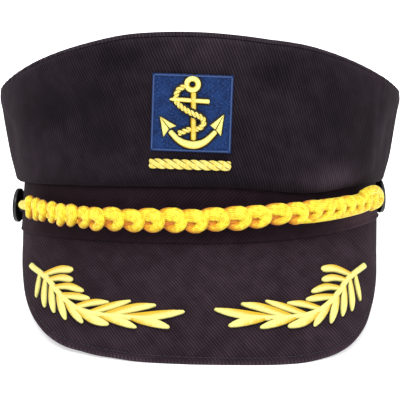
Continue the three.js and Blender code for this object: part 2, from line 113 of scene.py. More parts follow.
def colour(red: int, green: int, blue: int) -> Colour:
    """Returns a display colour, each channel from 0 to 255, as linear light."""
    return tuple(
        c / 12.92 if c <= 0.04045 else ((c + 0.055) / 1.055) ** 2.4
        for c in (red / 255, green / 255, blue / 255)
    )


def bell(value: Array, centre: float, spread: float) -> Array:
    """Returns a smooth bump of height 1 at the centre."""
    return np.exp(-(((value - centre) / spread) ** 2))


def turn_between(start: float, end: Array) -> Array:
    """Returns the shortest way from one turn to another, in degrees."""
    return (end - start + 180) % 360 - 180


def ease(value: Array, low: float, high: float) -> Array:
    """Returns 0 below low, 1 above high and a smooth step between them."""
    share = np.clip((value - low) / (high - low), 0, 1)
    return share * share * (3 - 2 * share)


def lerp(start: Array, end: Array, share: Array) -> Array:
    """Returns the value at a share of the way from start to end."""
    return start + (end - start) * share


def unit(vectors: Array) -> Array:
    """Returns the vectors at length 1."""
    return vectors / np.linalg.norm(vectors, axis=-1, keepdims=True)


@dataclass(frozen=True)
class Curve:
    """A smooth curve through the rows of a table, without overshoot."""

    rows: Pairs

    def __call__(self, at: Array) -> Array:
        """Reads the curve.

        Args:
            at: Values of the table's first column; beyond its ends the end rows hold.

        Returns:
            The values of the second column there.
        """
        keys, values = np.array(self.rows, float).T
        steps = np.diff(values) / np.diff(keys)
        before, after = steps[:-1], steps[1:]
        same_way = before * after > 0
        total = np.where(same_way, before + after, 1)
        middle = np.where(same_way, 2 * before * after / total, 0)
        slopes = np.concatenate([steps[:1], middle, steps[-1:]])
        at = np.clip(at, keys[0], keys[-1])
        i = np.clip(np.searchsorted(keys, at, side="right") - 1, 0, len(keys) - 2)
        width = keys[i + 1] - keys[i]
        s = (at - keys[i]) / width
        bend = slopes[i] * width * s * (1 - s) ** 2 - slopes[i + 1] * width * s**2 * (1 - s)
        return lerp(values[i], values[i + 1], s * s * (3 - 2 * s)) + bend


def lengths_along(path: Array) -> Array:
    """Returns the length of a path from its start to each of its points."""
    steps = np.linalg.norm(np.diff(path, axis=0), axis=1)
    return np.concatenate([[0], np.cumsum(steps)])


def smooth_path(places: Line, count: int) -> Array:
    """Spreads points along a smooth curve through places.

    Args:
        places: Two or more places, each with the same number of coordinates.
        count: How many points to give.

    Returns:
        The points, evenly spread, as an array with a row each.
    """
    knots = np.array(places, float)
    if len(knots) == 2:
        return lerp(knots[0], knots[1], np.linspace(0, 1, count)[:, None])
    ends = [2 * knots[0] - knots[1], 2 * knots[-1] - knots[-2]]
    padded = np.vstack([ends[0], knots, ends[1]])
    spans = len(knots) - 1
    place = np.linspace(0, spans, SPAN_STEPS * spans + 1)
    i = np.minimum(place.astype(int), spans - 1)
    s = (place - i)[:, None]
    a, b, c, d = padded[i], padded[i + 1], padded[i + 2], padded[i + 3]
    fine = 0.5 * (2 * b + (c - a) * s + (2 * a - 5 * b + 4 * c - d) * s**2)
    fine = fine + 0.5 * (3 * b - a - 3 * c + d) * s**3
    lengths = lengths_along(fine)
    wanted = np.linspace(0, lengths[-1], count)
    return np.stack([np.interp(wanted, lengths, column) for column in fine.T], axis=1)


class Value:
    """A shader socket that is used like a number in an expression."""

    def __init__(self, shader: Shader, socket: Socket) -> None:
        """Wraps a socket of a shader's tree."""
        self.shader = shader
        self.socket = socket

    def maths(self, operation: str, *terms: Value | float) -> Value:
        """Adds a Math node.

        Args:
            operation: The Math node's operation.
            terms: Its inputs in order.

        Returns:
            The node's result.
        """
        settings = {"operation": operation}
        node = self.shader.node("ShaderNodeMath", settings, dict(enumerate(terms)))
        return Value(self.shader, node.outputs[0])

    def __add__(self, other: Value | float) -> Value:
        """Returns the sum."""
        return self.maths("ADD", self, other)

    __radd__ = __add__

    def __sub__(self, other: Value | float) -> Value:
        """Returns the difference."""
        return self.maths("SUBTRACT", self, other)

    def __rsub__(self, other: float) -> Value:
        """Returns the difference from a number."""
        return self.maths("SUBTRACT", other, self)

    def __mul__(self, other: Value | float) -> Value:
        """Returns the product."""
        return self.maths("MULTIPLY", self, other)

    __rmul__ = __mul__

    def sine(self) -> Value:
        """Returns the sine."""
        return self.maths("SINE", self)

    def wave(self) -> Value:
        """Returns a wave from 0 to 1 of a phase in radians."""
        return self.sine() * 0.5 + 0.5

    def between(self, low: float, high: float) -> Value:
        """Returns a smooth step from 0 at low to 1 at high."""
        settings = {"interpolation_type": "SMOOTHSTEP"}
        node = self.shader.node("ShaderNodeMapRange", settings, {0: self, 1: low, 2: high})
        return Value(self.shader, node.outputs[0])


class Shader:
    """A material and the nodes that feed its surface."""

    def __init__(self, name: str) -> None:
        """Starts a material with a plain surface.

        Args:
            name: The material's name.
        """
        self.material = bpy.data.materials.new(name)
        self.material.use_nodes = True
        self.tree = self.material.node_tree
        self.surface = self.tree.nodes["Principled BSDF"]

    def node(self, kind: str, settings: dict, inputs: dict) -> Node:
        """Adds a node.

        Args:
            kind: The node's type.
            settings: Its properties, set first.
            inputs: A number, colour or link for each socket, by name or place.

        Returns:
            The node.
        """
        node = self.tree.nodes.new(kind)
        for key, value in settings.items():
            setattr(node, key, value)
        for key, value in inputs.items():
            self.feed(node.inputs[key], value)
        return node

    def feed(self, socket: Socket, value: object) -> None:
        """Links or sets one input."""
        if isinstance(value, Value):
            self.tree.links.new(value.socket, socket)
        elif isinstance(value, Socket):
            self.tree.links.new(value, socket)
        elif socket.type == "RGBA":
            socket.default_value = (*value, 1)
        else:
            socket.default_value = value

    def set(self, **inputs: object) -> None:
        """Sets or links the surface's inputs, named with _ for each space."""
        for key, value in inputs.items():
            self.feed(self.surface.inputs[key.replace("_", " ")], value)

    def weave(self) -> tuple[Value, Value]:
        """Returns the piece's own cloth coordinates, in metres."""
        source = self.node("ShaderNodeUVMap", {"uv_map": WEAVE}, {})
        split = self.node("ShaderNodeSeparateXYZ", {}, {0: source.outputs[0]})
        return Value(self, split.outputs[0]), Value(self, split.outputs[1])

    def place(self) -> Socket:
        """Returns the place on the object, in metres."""
        return self.node("ShaderNodeTexCoord", {}, {}).outputs["Object"]

    def mark(self, name: str) -> Value:
        """Returns a number that the mesh carries at each vertex."""
        node = self.node("ShaderNodeAttribute", {"attribute_name": name}, {})
        return Value(self, node.outputs["Fac"])

    def vector(self, x: Value | float, y: Value | float, z: Value | float = 0.0) -> Socket:
        """Returns a vector of three numbers."""
        return self.node("ShaderNodeCombineXYZ", {}, {0: x, 1: y, 2: z}).outputs[0]

    def noise(self, vector: Socket, scale: float, detail: float = 2.0) -> Value:
        """Returns soft noise around 0.5.

        Args:
            vector: Where to read it.
            scale: How many lumps there are to a unit of the vector.
            detail: How many finer layers it has.
        """
        inputs = {"Vector": vector, "Scale": scale, "Detail": detail}
        node = self.node("ShaderNodeTexNoise", {}, inputs)
        return Value(self, node.outputs[0])

    def mix(self, share: Value, first: object, second: object) -> Socket:
        """Returns the colour between two colours."""
        inputs = {0: share, 6: first, 7: second}
        node = self.node("ShaderNodeMix", {"data_type": "RGBA"}, inputs)
        return node.outputs[2]

    def bump(self, height: Value, depth: float, strength: float) -> None:
        """Gives the surface relief.

        Args:
            height: The relief, from 0 to 1.
            depth: Its depth in metres.
            strength: How much of it shows.
        """
        inputs = {"Height": height, "Distance": depth, "Strength": strength}
        node = self.node("ShaderNodeBump", {}, inputs)
        self.set(Normal=node.outputs[0])


def slanted(u: Value, v: Value, slant: float) -> tuple[Value, Value]:
    """Turns cloth coordinates.

    Args:
        u: The first one.
        v: The second one.
        slant: The turn in degrees.

    Returns:
        The coordinates along the slant and across it.
    """
    lean = math.radians(slant)
    along = u * math.cos(lean) + v * math.sin(lean)
    return along, v * math.cos(lean) - u * math.sin(lean)


# In a finish, lengths are in millimetres and a scale is in lumps to a metre. The other numbers
# are shares of what makes up its tone, its light, its fade or its relief.
@dataclass(frozen=True)
class Twill:
    """Cotton twill: fine slanted ribs of short floats, a little faded in large soft patches."""

    name: str
    groove: Colour
    rib: Colour
    faded: Colour
    slant: float
    pitch: float = 1.3
    float_length: float = 0.85
    yarn_width: float = 1.25
    yarn_length: float = 16.0
    yarn_share: float = 0.38
    float_share: float = 0.2
    wander_scale: float = 45.0
    wander: float = 2.0
    patch_scale: float = 24.0
    mottle_scale: float = 130.0
    noise_range: Pair = (0.3, 0.7)
    rib_tone: float = 0.78
    mottle_tone: float = 0.17
    patch_tone: float = 0.12
    paler_and_painted_light_tone: float = 0.5
    tone_shift: float = -0.035
    groove_fade: float = 0.3
    patch_fade: float = 0.18
    full_fade: float = 1.6
    relief: float = 0.16
    strength: float = 0.6
    rib_relief: float = 0.66
    float_relief: float = 0.24
    mottle_relief: float = 0.1

    def material(self) -> Material:
        """Returns the material."""
        shader = Shader(self.name)
        u, v = shader.weave()
        along, across = slanted(u, v, self.slant)
        cloth = shader.vector(u, v)
        pitch = self.pitch * MM
        wander = shader.noise(cloth, self.wander_scale, 1.0) - 0.5
        phase = across * (math.tau / pitch) + wander * self.wander
        ribs = phase.wave()
        floats = (along * (math.tau / (self.float_length * MM)) + phase * 0.5).wave()
        yarn = across * (1 / (self.yarn_width * pitch)), along * (1 / (self.yarn_length * MM))
        yarns = shader.noise(shader.vector(*yarn), 1.0, 2.0).between(0.25, 0.75)
        patches = shader.noise(cloth, self.patch_scale, 3.0).between(*self.noise_range)
        mottle = shader.noise(cloth, self.mottle_scale, 2.0).between(*self.noise_range)
        lit = ribs * (1 - self.yarn_share + self.yarn_share * yarns)
        lit = lit * (1 - self.float_share + self.float_share * floats)
        # This mark is painted light and shade on the crown, and paler places on the band and the peak;
        # above 0 it lifts the tone and the fade, below 0 it darkens the tone.
        paler_and_painted_light = shader.mark("paler_and_painted_light")
        tone = lit * self.rib_tone + mottle * self.mottle_tone + patches * self.patch_tone
        tone = tone + paler_and_painted_light * self.paler_and_painted_light_tone + self.tone_shift
        base = shader.mix(tone, self.groove, self.rib)
        fade = patches * self.patch_fade + mottle * self.patch_fade + paler_and_painted_light
        fade = (self.groove_fade + (1 - self.groove_fade) * lit) * fade
        shader.set(
            Base_Color=shader.mix(fade.between(0.0, self.full_fade), base, self.faded),
            Roughness=0.92,
            Specular_IOR_Level=0.06,
            Sheen_Weight=0.02,
            Sheen_Roughness=0.5,
            Sheen_Tint=colour(215, 165, 185),
        )
        height = ribs * self.rib_relief + floats * ribs * self.float_relief
        shader.bump(height + mottle * self.mottle_relief, self.relief * MM, self.strength)
        return shader.material


@dataclass(frozen=True)
class Cord:
    """Shiny rayon cord: yarns side by side along it, with painted shade, deep orange, between the
    loops.
    """

    name: str
    bright: Colour = colour(234, 222, 56)
    body: Colour = colour(212, 176, 3)
    # groove and deep are the colours of the painted shade; groove also lies between the yarns.
    groove: Colour = colour(206, 136, 2)
    deep: Colour = colour(160, 72, 2)
    yarn: float = 1.08
    twist: float = 13.0
    wander_scale: float = 240.0
    wander: float = 2.6
    fibre_across: float = 2600.0
    fibre_along: float = 420.0
    fuzz_scale: float = 1900.0
    mottle_scale: float = 560.0
    yarn_light: float = 0.35
    fibre_light: float = 0.5
    mottle_light: float = 1.7
    light_shift: float = -0.82
    yarn_side: float = 0.42
    depth_side: float = 1.4
    depth_start: float = 0.08
    mottle_side: float = 1.3
    mottle_sunk: float = 0.35
    relief: float = 0.34
    strength: float = 0.85

    def material(self) -> Material:
        """Returns the material."""
        shader = Shader(self.name)
        u, v = shader.weave()
        along, across = slanted(u, v, self.twist)
        wander = shader.noise(shader.vector(u, v), self.wander_scale) - 0.5
        yarns = (across * (math.tau / (self.yarn * MM)) + wander * self.wander).wave()
        fibre_place = shader.vector(across * self.fibre_across, along * self.fibre_along)
        fibres = shader.noise(fibre_place, 1.0, 2.0)
        fuzz = shader.noise(shader.place(), self.fuzz_scale, 1.0)
        mottle = shader.noise(shader.place(), self.mottle_scale, 2.5)
        # The depth mark is painted shade: the deeper in the braid, the more groove and deep colour.
        depth = shader.mark("depth")
        lit = yarns * self.yarn_light + fibres * self.fibre_light + mottle * self.mottle_light
        face = shader.mix((lit + self.light_shift).between(0.05, 0.8), self.body, self.bright)
        sides = (1 - yarns) * self.yarn_side * fibres.between(0.3, 0.6)
        sides = sides + (depth - self.depth_start) * self.depth_side - (mottle - 0.5) * self.mottle_side
        shaded = shader.mix(sides.between(0.0, 0.9), face, self.groove)
        sunk = (depth + (mottle - 0.5) * self.mottle_sunk).between(0.55, 1.05)
        shader.set(
            Base_Color=shader.mix(sunk, shaded, self.deep),
            Roughness=0.46 + 0.18 * fuzz,
            Specular_IOR_Level=0.4,
            Sheen_Weight=0.12,
            Sheen_Roughness=0.4,
        )
        shader.bump(yarns * 0.5 + fibres * 0.2 + fuzz * 0.3, self.relief * MM, self.strength)
        return shader.material


@dataclass(frozen=True)
class SatinThread:
    """Embroidery: fine shiny threads laid side by side across a shape, dark at its edges."""

    name: str
    light: Colour
    body: Colour
    shade: Colour
    edge: Colour
    thread: float = 0.42
    thread_width: float = 1.25
    thread_run: float = 160.0
    slant: float = 74.0
    rim: float = 0.07
    ragged: float = 0.1
    wander_scale: float = 420.0
    wander: float = 1.4
    each_light: float = 1.5
    tone_light: float = 0.9
    light_shift: float = -0.7
    each_shade: float = 0.5
    relief: float = 0.14
    strength: float = 0.6

    def material(self) -> Material:
        """Returns the material."""
        shader = Shader(self.name)
        u, v = shader.weave()
        _, across = slanted(u, v, self.slant)
        wander = shader.noise(shader.vector(u, v), self.wander_scale) - 0.5
        threads = (across * (math.tau / (self.thread * MM)) + wander * self.wander).wave()
        width = self.thread_width * self.thread * MM
        each = shader.noise(shader.vector(across * (1 / width), v * self.thread_run), 1.0, 1.0)
        # The tone mark is painted light and shade: low tone takes the light colour, high tone the shade
        # colour.
        tone = shader.mark("tone")
        paler = each * self.each_light + tone * self.tone_light + self.light_shift
        lit = shader.mix(paler.between(0.25, 0.75), self.light, self.body)
        deeper = (tone + (each - 0.5) * self.each_shade).between(0.15, 0.85)
        base = shader.mix(deeper, lit, self.shade)
        inset = shader.mark("inset") + (each - 0.5) * self.ragged
        shader.set(
            Base_Color=shader.mix(inset.between(-self.rim, self.rim), self.edge, base),
            Roughness=0.46 + 0.2 * each,
            Specular_IOR_Level=0.3,
        )
        shader.bump(threads, self.relief * MM, self.strength)
        return shader.material


@dataclass(frozen=True)
class BadgeCloth:
    """Filled embroidery ground: short stitches in rows, speckled light and dark."""

    name: str
    dark: Colour = colour(10, 24, 58)
    body: Colour = colour(20, 46, 92)
    light: Colour = colour(58, 84, 138)
    row: float = 0.55
    stitch: float = 2.6
    stagger_rows: int = 4
    stagger: float = 2.2
    speck_scale: float = 1300.0
    broad_scale: float = 190.0
    broad_share: float = 0.4
    end_share: float = 0.3
    spot_share: float = 0.5
    relief: float = 0.16
    strength: float = 0.7

    def material(self) -> Material:
        """Returns the material."""
        shader = Shader(self.name)
        u, v = shader.weave()
        rows = (v * (math.tau / (self.row * MM))).wave()
        offset = (v * (math.tau / (self.stagger_rows * self.row * MM))).sine() * self.stagger
        ends = (u * (math.tau / (self.stitch * MM)) + offset).wave()
        speck = shader.noise(shader.vector(u, v), self.speck_scale, 2.0)
        broad = shader.noise(shader.vector(u, v), self.broad_scale, 2.0)
        tone = speck * (1 - self.broad_share) + broad * self.broad_share
        base = shader.mix(tone.between(0.34, 0.62), self.dark, self.body)
        spots = (speck * (1 - self.end_share) + rows * ends * self.end_share).between(0.50, 0.74)
        shader.set(
            Base_Color=shader.mix(spots * self.spot_share, base, self.light),
            Roughness=0.7,
            Specular_IOR_Level=0.1,
        )
        shader.bump(rows * 0.4 + ends * 0.2 + speck * 0.4, self.relief * MM, self.strength)
        return shader.material


@dataclass(frozen=True)
class Plastic:
    """Moulded black plastic with faint handling marks."""

    name: str
    body: Colour = colour(18, 17, 19)
    smeared: Colour = colour(26, 25, 28)
    mark_scale: float = 420.0
    smear_scale: float = 90.0

    def material(self) -> Material:
        """Returns the material."""
        shader = Shader(self.name)
        marks = shader.noise(shader.place(), self.mark_scale, 3.0)
        smears = shader.noise(shader.place(), self.smear_scale, 2.0)
        tone = shader.mix(smears.between(0.3, 0.8), self.body, self.smeared)
        shader.set(Base_Color=tone, Roughness=0.26 + 0.18 * marks, Specular_IOR_Level=0.45)
        shader.bump(marks, 0.03 * MM, 0.25)
        return shader.material


@dataclass(frozen=True)
class SewingThread:
    """Plain sewing thread with a fine twist."""

    name: str
    body: Colour
    twist: float = 0.35
    dimmed: float = 0.6

    def material(self) -> Material:
        """Returns the material."""
        shader = Shader(self.name)
        u, v = shader.weave()
        twist = ((u + v) * (math.tau / (self.twist * MM))).wave()
        tone = shader.mix(twist, tuple(self.dimmed * c for c in self.body), self.body)
        shader.set(Base_Color=tone, Roughness=0.6, Specular_IOR_Level=0.3)
        shader.bump(twist, 0.05 * MM, 0.5)
        return shader.material


@dataclass
class Grid:
    """A sheet of points in rows and columns, with its cloth coordinates and marks."""

    points: Array
    weave: Array
    marks: dict[str, Array] = field(default_factory=dict)

def deselect() -> None:
    """Clears the selection."""
    bpy.ops.object.select_all(action="DESELECT")


def close_up() -> None:
    """Merges the points of the active mesh that meet, and turns its faces outwards."""
    bpy.ops.object.mode_set(mode="EDIT")
    bpy.ops.mesh.select_all(action="SELECT")
    bpy.ops.mesh.remove_doubles(threshold=MERGE_DISTANCE)
    bpy.ops.mesh.normals_make_consistent(inside=False)
    bpy.ops.object.mode_set(mode="OBJECT")


def bend_grid(name: str, grid: Grid, form: HatForm) -> Object:
    """Adds a flat grid and moves its vertices to where they lie on the hat.

    Sides of the grid that come together are merged, so a sheet that closes on itself has no
    seam, and a side of no length becomes one point.

    Args:
        name: The object's name.
        grid: Its points in the hat frame, in millimetres.
        form: Gives each point's place in the world.

    Returns:
        The object, smooth and with its faces pointing out.
    """
    rows, columns = grid.points.shape[:2]
    deselect()
    bpy.ops.mesh.primitive_grid_add(x_subdivisions=columns - 1, y_subdivisions=rows - 1, size=2)
    piece = bpy.context.object
    piece.name = name
    mesh = piece.data
    mesh.name = name
    flat = np.empty(3 * len(mesh.vertices))
    mesh.vertices.foreach_get("co", flat)
    flat = flat.reshape(-1, 3)
    column = np.rint((flat[:, 0] + 1) / 2 * (columns - 1)).astype(int)
    row = np.rint((flat[:, 1] + 1) / 2 * (rows - 1)).astype(int)
    mesh.vertices.foreach_set("co", form.world(grid.points)[row, column].ravel())
    corners = np.empty(len(mesh.loops), int)
    mesh.loops.foreach_get("vertex_index", corners)
    layer = mesh.uv_layers[0]
    layer.name = WEAVE
    weave = grid.weave[row, column] * MM
    layer.data.foreach_set("uv", weave[corners].ravel())
    for mark, values in grid.marks.items():
        attribute = mesh.attributes.new(mark, "FLOAT", "POINT")
        attribute.data.foreach_set("value", values[row, column].astype(np.float32))
    close_up()
    bpy.ops.object.shade_smooth()
    return piece


def join(name: str, pieces: Sequence[Object]) -> Object:
    """Joins objects into one.

    Args:
        name: The name of the whole.
        pieces: The objects, which are used up.

    Returns:
        The joined object.
    """
    deselect()
    for piece in pieces:
        piece.select_set(True)
    bpy.context.view_layer.objects.active = pieces[0]
    if len(pieces) > 1:
        bpy.ops.object.join()
    whole = bpy.context.object
    whole.name = name
    whole.data.name = name
    return whole


class Profile(Enum):
    """The section of a swept shape."""

    ROUND = "round"
    PILLOW = "pillow"


def section(profile: Profile, sides: int) -> tuple[Array, Array, Array]:
    """Gives a section to sweep.

    Args:
        profile: A round section, or a pillow on a flat foot with a skirt on both sides.
        sides: How many sides the curved part has.

    Returns:
        For each corner the share of the half width, the share of the height, and whether it
        belongs to the skirt: 1 on the right, -1 on the left and 0 elsewhere.
    """
    if profile is Profile.ROUND:
        angle = np.linspace(0, math.tau, sides + 1)
        return np.cos(angle), np.sin(angle), np.zeros(sides + 1)
    angle = np.linspace(0, math.pi, sides + 1)
    curve = np.sign(np.cos(angle)) * np.abs(np.cos(angle)) ** PILLOW_BULGE
    over = np.concatenate([[1, 1], curve, [-1, -1, 1]])
    top = np.sin(angle) ** PILLOW_ROUND
    height = np.concatenate([[SKIRT_FOOT, 0], top, [0, SKIRT_FOOT, SKIRT_FOOT]])
    skirt = np.concatenate([[1, 1], np.zeros(sides + 1), [-1, -1, 1]])
    return over, height, skirt


def sweep(
    path: Array,
    normals: Array,
    half: Array,
    rise: Array,
    profile: Profile = Profile.PILLOW,
    sides: int = 20,
    outline: float = 0.0,
) -> Grid:
    """Carries a section along a path.

    Args:
        path: The section's middle at each step.
        normals: The way up at each step.
        half: Half the section's width at each step.
        rise: Its height above the path at each step.
        profile: A round section, or a pillow with a flat foot.
        sides: How many sides the curved part of the section has.
        outline: How wide the pillow's flat skirt is.

    Returns:
        The swept sheet, closed round the section, marked with the way across it from -1 to 1
        and the distance in from its sides, which is below 0 on the skirt.
    """
    along = unit(np.gradient(path, axis=0))
    if np.allclose(path[0], path[-1]):
        along[0] = along[-1] = unit(along[0] + along[-1])
    side = unit(np.cross(normals, along))
    up = np.cross(along, side)
    over, height, skirt = section(profile, sides)
    width = half[:, None] * over + outline * skirt
    points = path[:, None] + side[:, None] * width[..., None]
    points = points + up[:, None] * (rise[:, None] * height)[..., None]
    lengths = np.repeat(lengths_along(path)[:, None], len(over), axis=1)
    around = over + SKIRT_WAY * skirt
    if profile is Profile.ROUND:
        around = np.linspace(0, math.tau, sides + 1)
    ways = np.repeat(half.max() * around[None], len(path), axis=0)
    inset = half[:, None] * (1 - np.abs(over)) - outline * np.abs(skirt)
    across = np.repeat(over[None], len(path), axis=0)
    return Grid(points, np.stack([lengths, ways], axis=-1), {"across": across, "inset": inset})


def rounded(path: Array, start: float, end: float) -> Array:
    """Returns the share of a section's size along a path whose ends are rounded off.

    Args:
        path: The points of the path.
        start: The length that the first end takes to reach full size.
        end: The same for the last end.
    """
    length = lengths_along(path)
    first = np.clip(length / start, 0, 1) if start else np.ones_like(length)
    last = np.clip((length[-1] - length) / end, 0, 1) if end else np.ones_like(length)
    return np.sqrt(1 - (1 - first) ** 2) * np.sqrt(1 - (1 - last) ** 2)


@dataclass(frozen=True)
class HatForm:
    """The head's oval, the folded edge of the band, and how the hat rests."""

    half_width: float = 88.0
    half_length: float = 99.0
    lift_right: float = 8.0
    lift_power: float = 2.6
    lift_left: float = 1.4
    tilt: float = 12.6
    surface: float = -20.6
    button_height: float = 13.4
    origin: Place = (0.0, 0.0, 0.0)

    def on_frame(self) -> HatForm:
        """Returns the form at its place in the frame, which the side buttons give."""
        low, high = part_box("button_left")
        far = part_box("button_right")[1]
        middle = (low + high) / 2
        lean = math.radians(self.tilt)
        rise = self.button_height * MM
        y = middle.y - rise * math.sin(lean)
        z = middle.z - rise * math.cos(lean)
        return replace(self, origin=((low.x + far.x) / 2, y, z))

    def world(self, points: Array) -> Array:
        """Returns places of the hat frame, in millimetres, in the world, in metres."""
        lean = math.radians(self.tilt)
        x, y, z = np.moveaxis(points, -1, 0)
        back = y * math.cos(lean) + z * math.sin(lean)
        up = z * math.cos(lean) - y * math.sin(lean)
        return np.stack([x, back, up], axis=-1) * MM + np.array(self.origin)

    def oval(self, turn: Array, out: Array, height: Array) -> Array:
        """Returns places outside the oval by out, at a height."""
        around = np.radians(turn)
        x = (self.half_width + out) * np.sin(around)
        y = -(self.half_length + out) * np.cos(around)
        return np.stack(np.broadcast_arrays(x, y, height), axis=-1)

    def arc(self, turn: Array, out: float = 0.0) -> Array:
        """Returns the way along the oval from the middle of the front, in millimetres."""
        fine = np.radians(np.linspace(-360, 360, ARC_STEPS))
        slope = np.hypot(
            (self.half_width + out) * np.cos(fine),
            (self.half_length + out) * np.sin(fine),
        )
        way = np.concatenate([[0], np.cumsum(0.5 * (slope[1:] + slope[:-1]) * np.diff(fine))])
        way = way - np.interp(0, fine, way)
        return np.interp(np.radians(turn), fine, way)

    def turn_at(self, arc: Array, out: float = 0.0) -> Array:
        """Returns the turn at a way along the oval."""
        turns = np.linspace(-360, 360, ARC_STEPS)
        return np.interp(arc, self.arc(turns, out), turns)

    def lift(self, turn: Array) -> Array:
        """Returns how high the band's lower edge lies."""
        side = np.sin(np.radians(turn))
        right = self.lift_right * np.maximum(side, 0) ** self.lift_power
        return np.where(side > 0, right, self.lift_left * side**2)

    def pressed(self, points: Array) -> Array:
        """Returns the points, with those below the resting surface lifted on to it."""
        lean = math.radians(self.tilt)
        up = np.array([0, -math.sin(lean), math.cos(lean)])
        depth = np.maximum(self.surface - points @ up, 0)
        return points + depth[..., None] * up


@dataclass(frozen=True)
class Patch:
    """A soft round patch of the crown's wall: a hollow of it, or a place of painted shade.

    With a depth below 0 it is a swelling, or a place of painted light.
    """

    turn: float
    rise: float
    depth: float
    spread_turn: float
    spread_rise: float

    def at(self, turn: Array, rise: Array) -> Array:
        """Returns the patch's depth at a turn and a share of the wall's height."""
        near = bell(turn_between(self.turn, turn), 0, self.spread_turn)
        return self.depth * near * bell(rise, self.rise, self.spread_rise)


@dataclass(frozen=True)
class Crease:
    """A soft fold of the crown's wall from one place to another.

    The wall is laid flat for it, with so many millimetres to a degree and to its height.
    """

    turn: float
    rise: float
    end_turn: float
    end_rise: float
    width: float
    depth: float
    degree: float = 1.7
    wall: float = 66.0
    tail: float = 0.25

    def at(self, turn: Array, rise: Array) -> Array:
        """Returns the fold's depth at a turn and a share of the wall's height."""
        across = turn_between(self.turn, turn) * self.degree
        up = self.wall * rise - self.wall * self.rise
        end_across = (self.end_turn - self.turn) * self.degree
        end_up = self.wall * (self.end_rise - self.rise)
        length = math.hypot(end_across, end_up)
        share = (across * end_across + up * end_up) / length**2
        off = (across * end_up - up * end_across) / length
        fade = ease(share, -self.tail, self.tail) * (1 - ease(share, 1 - self.tail, 1 + self.tail))
        return self.depth * fade * bell(off, 0, self.width)


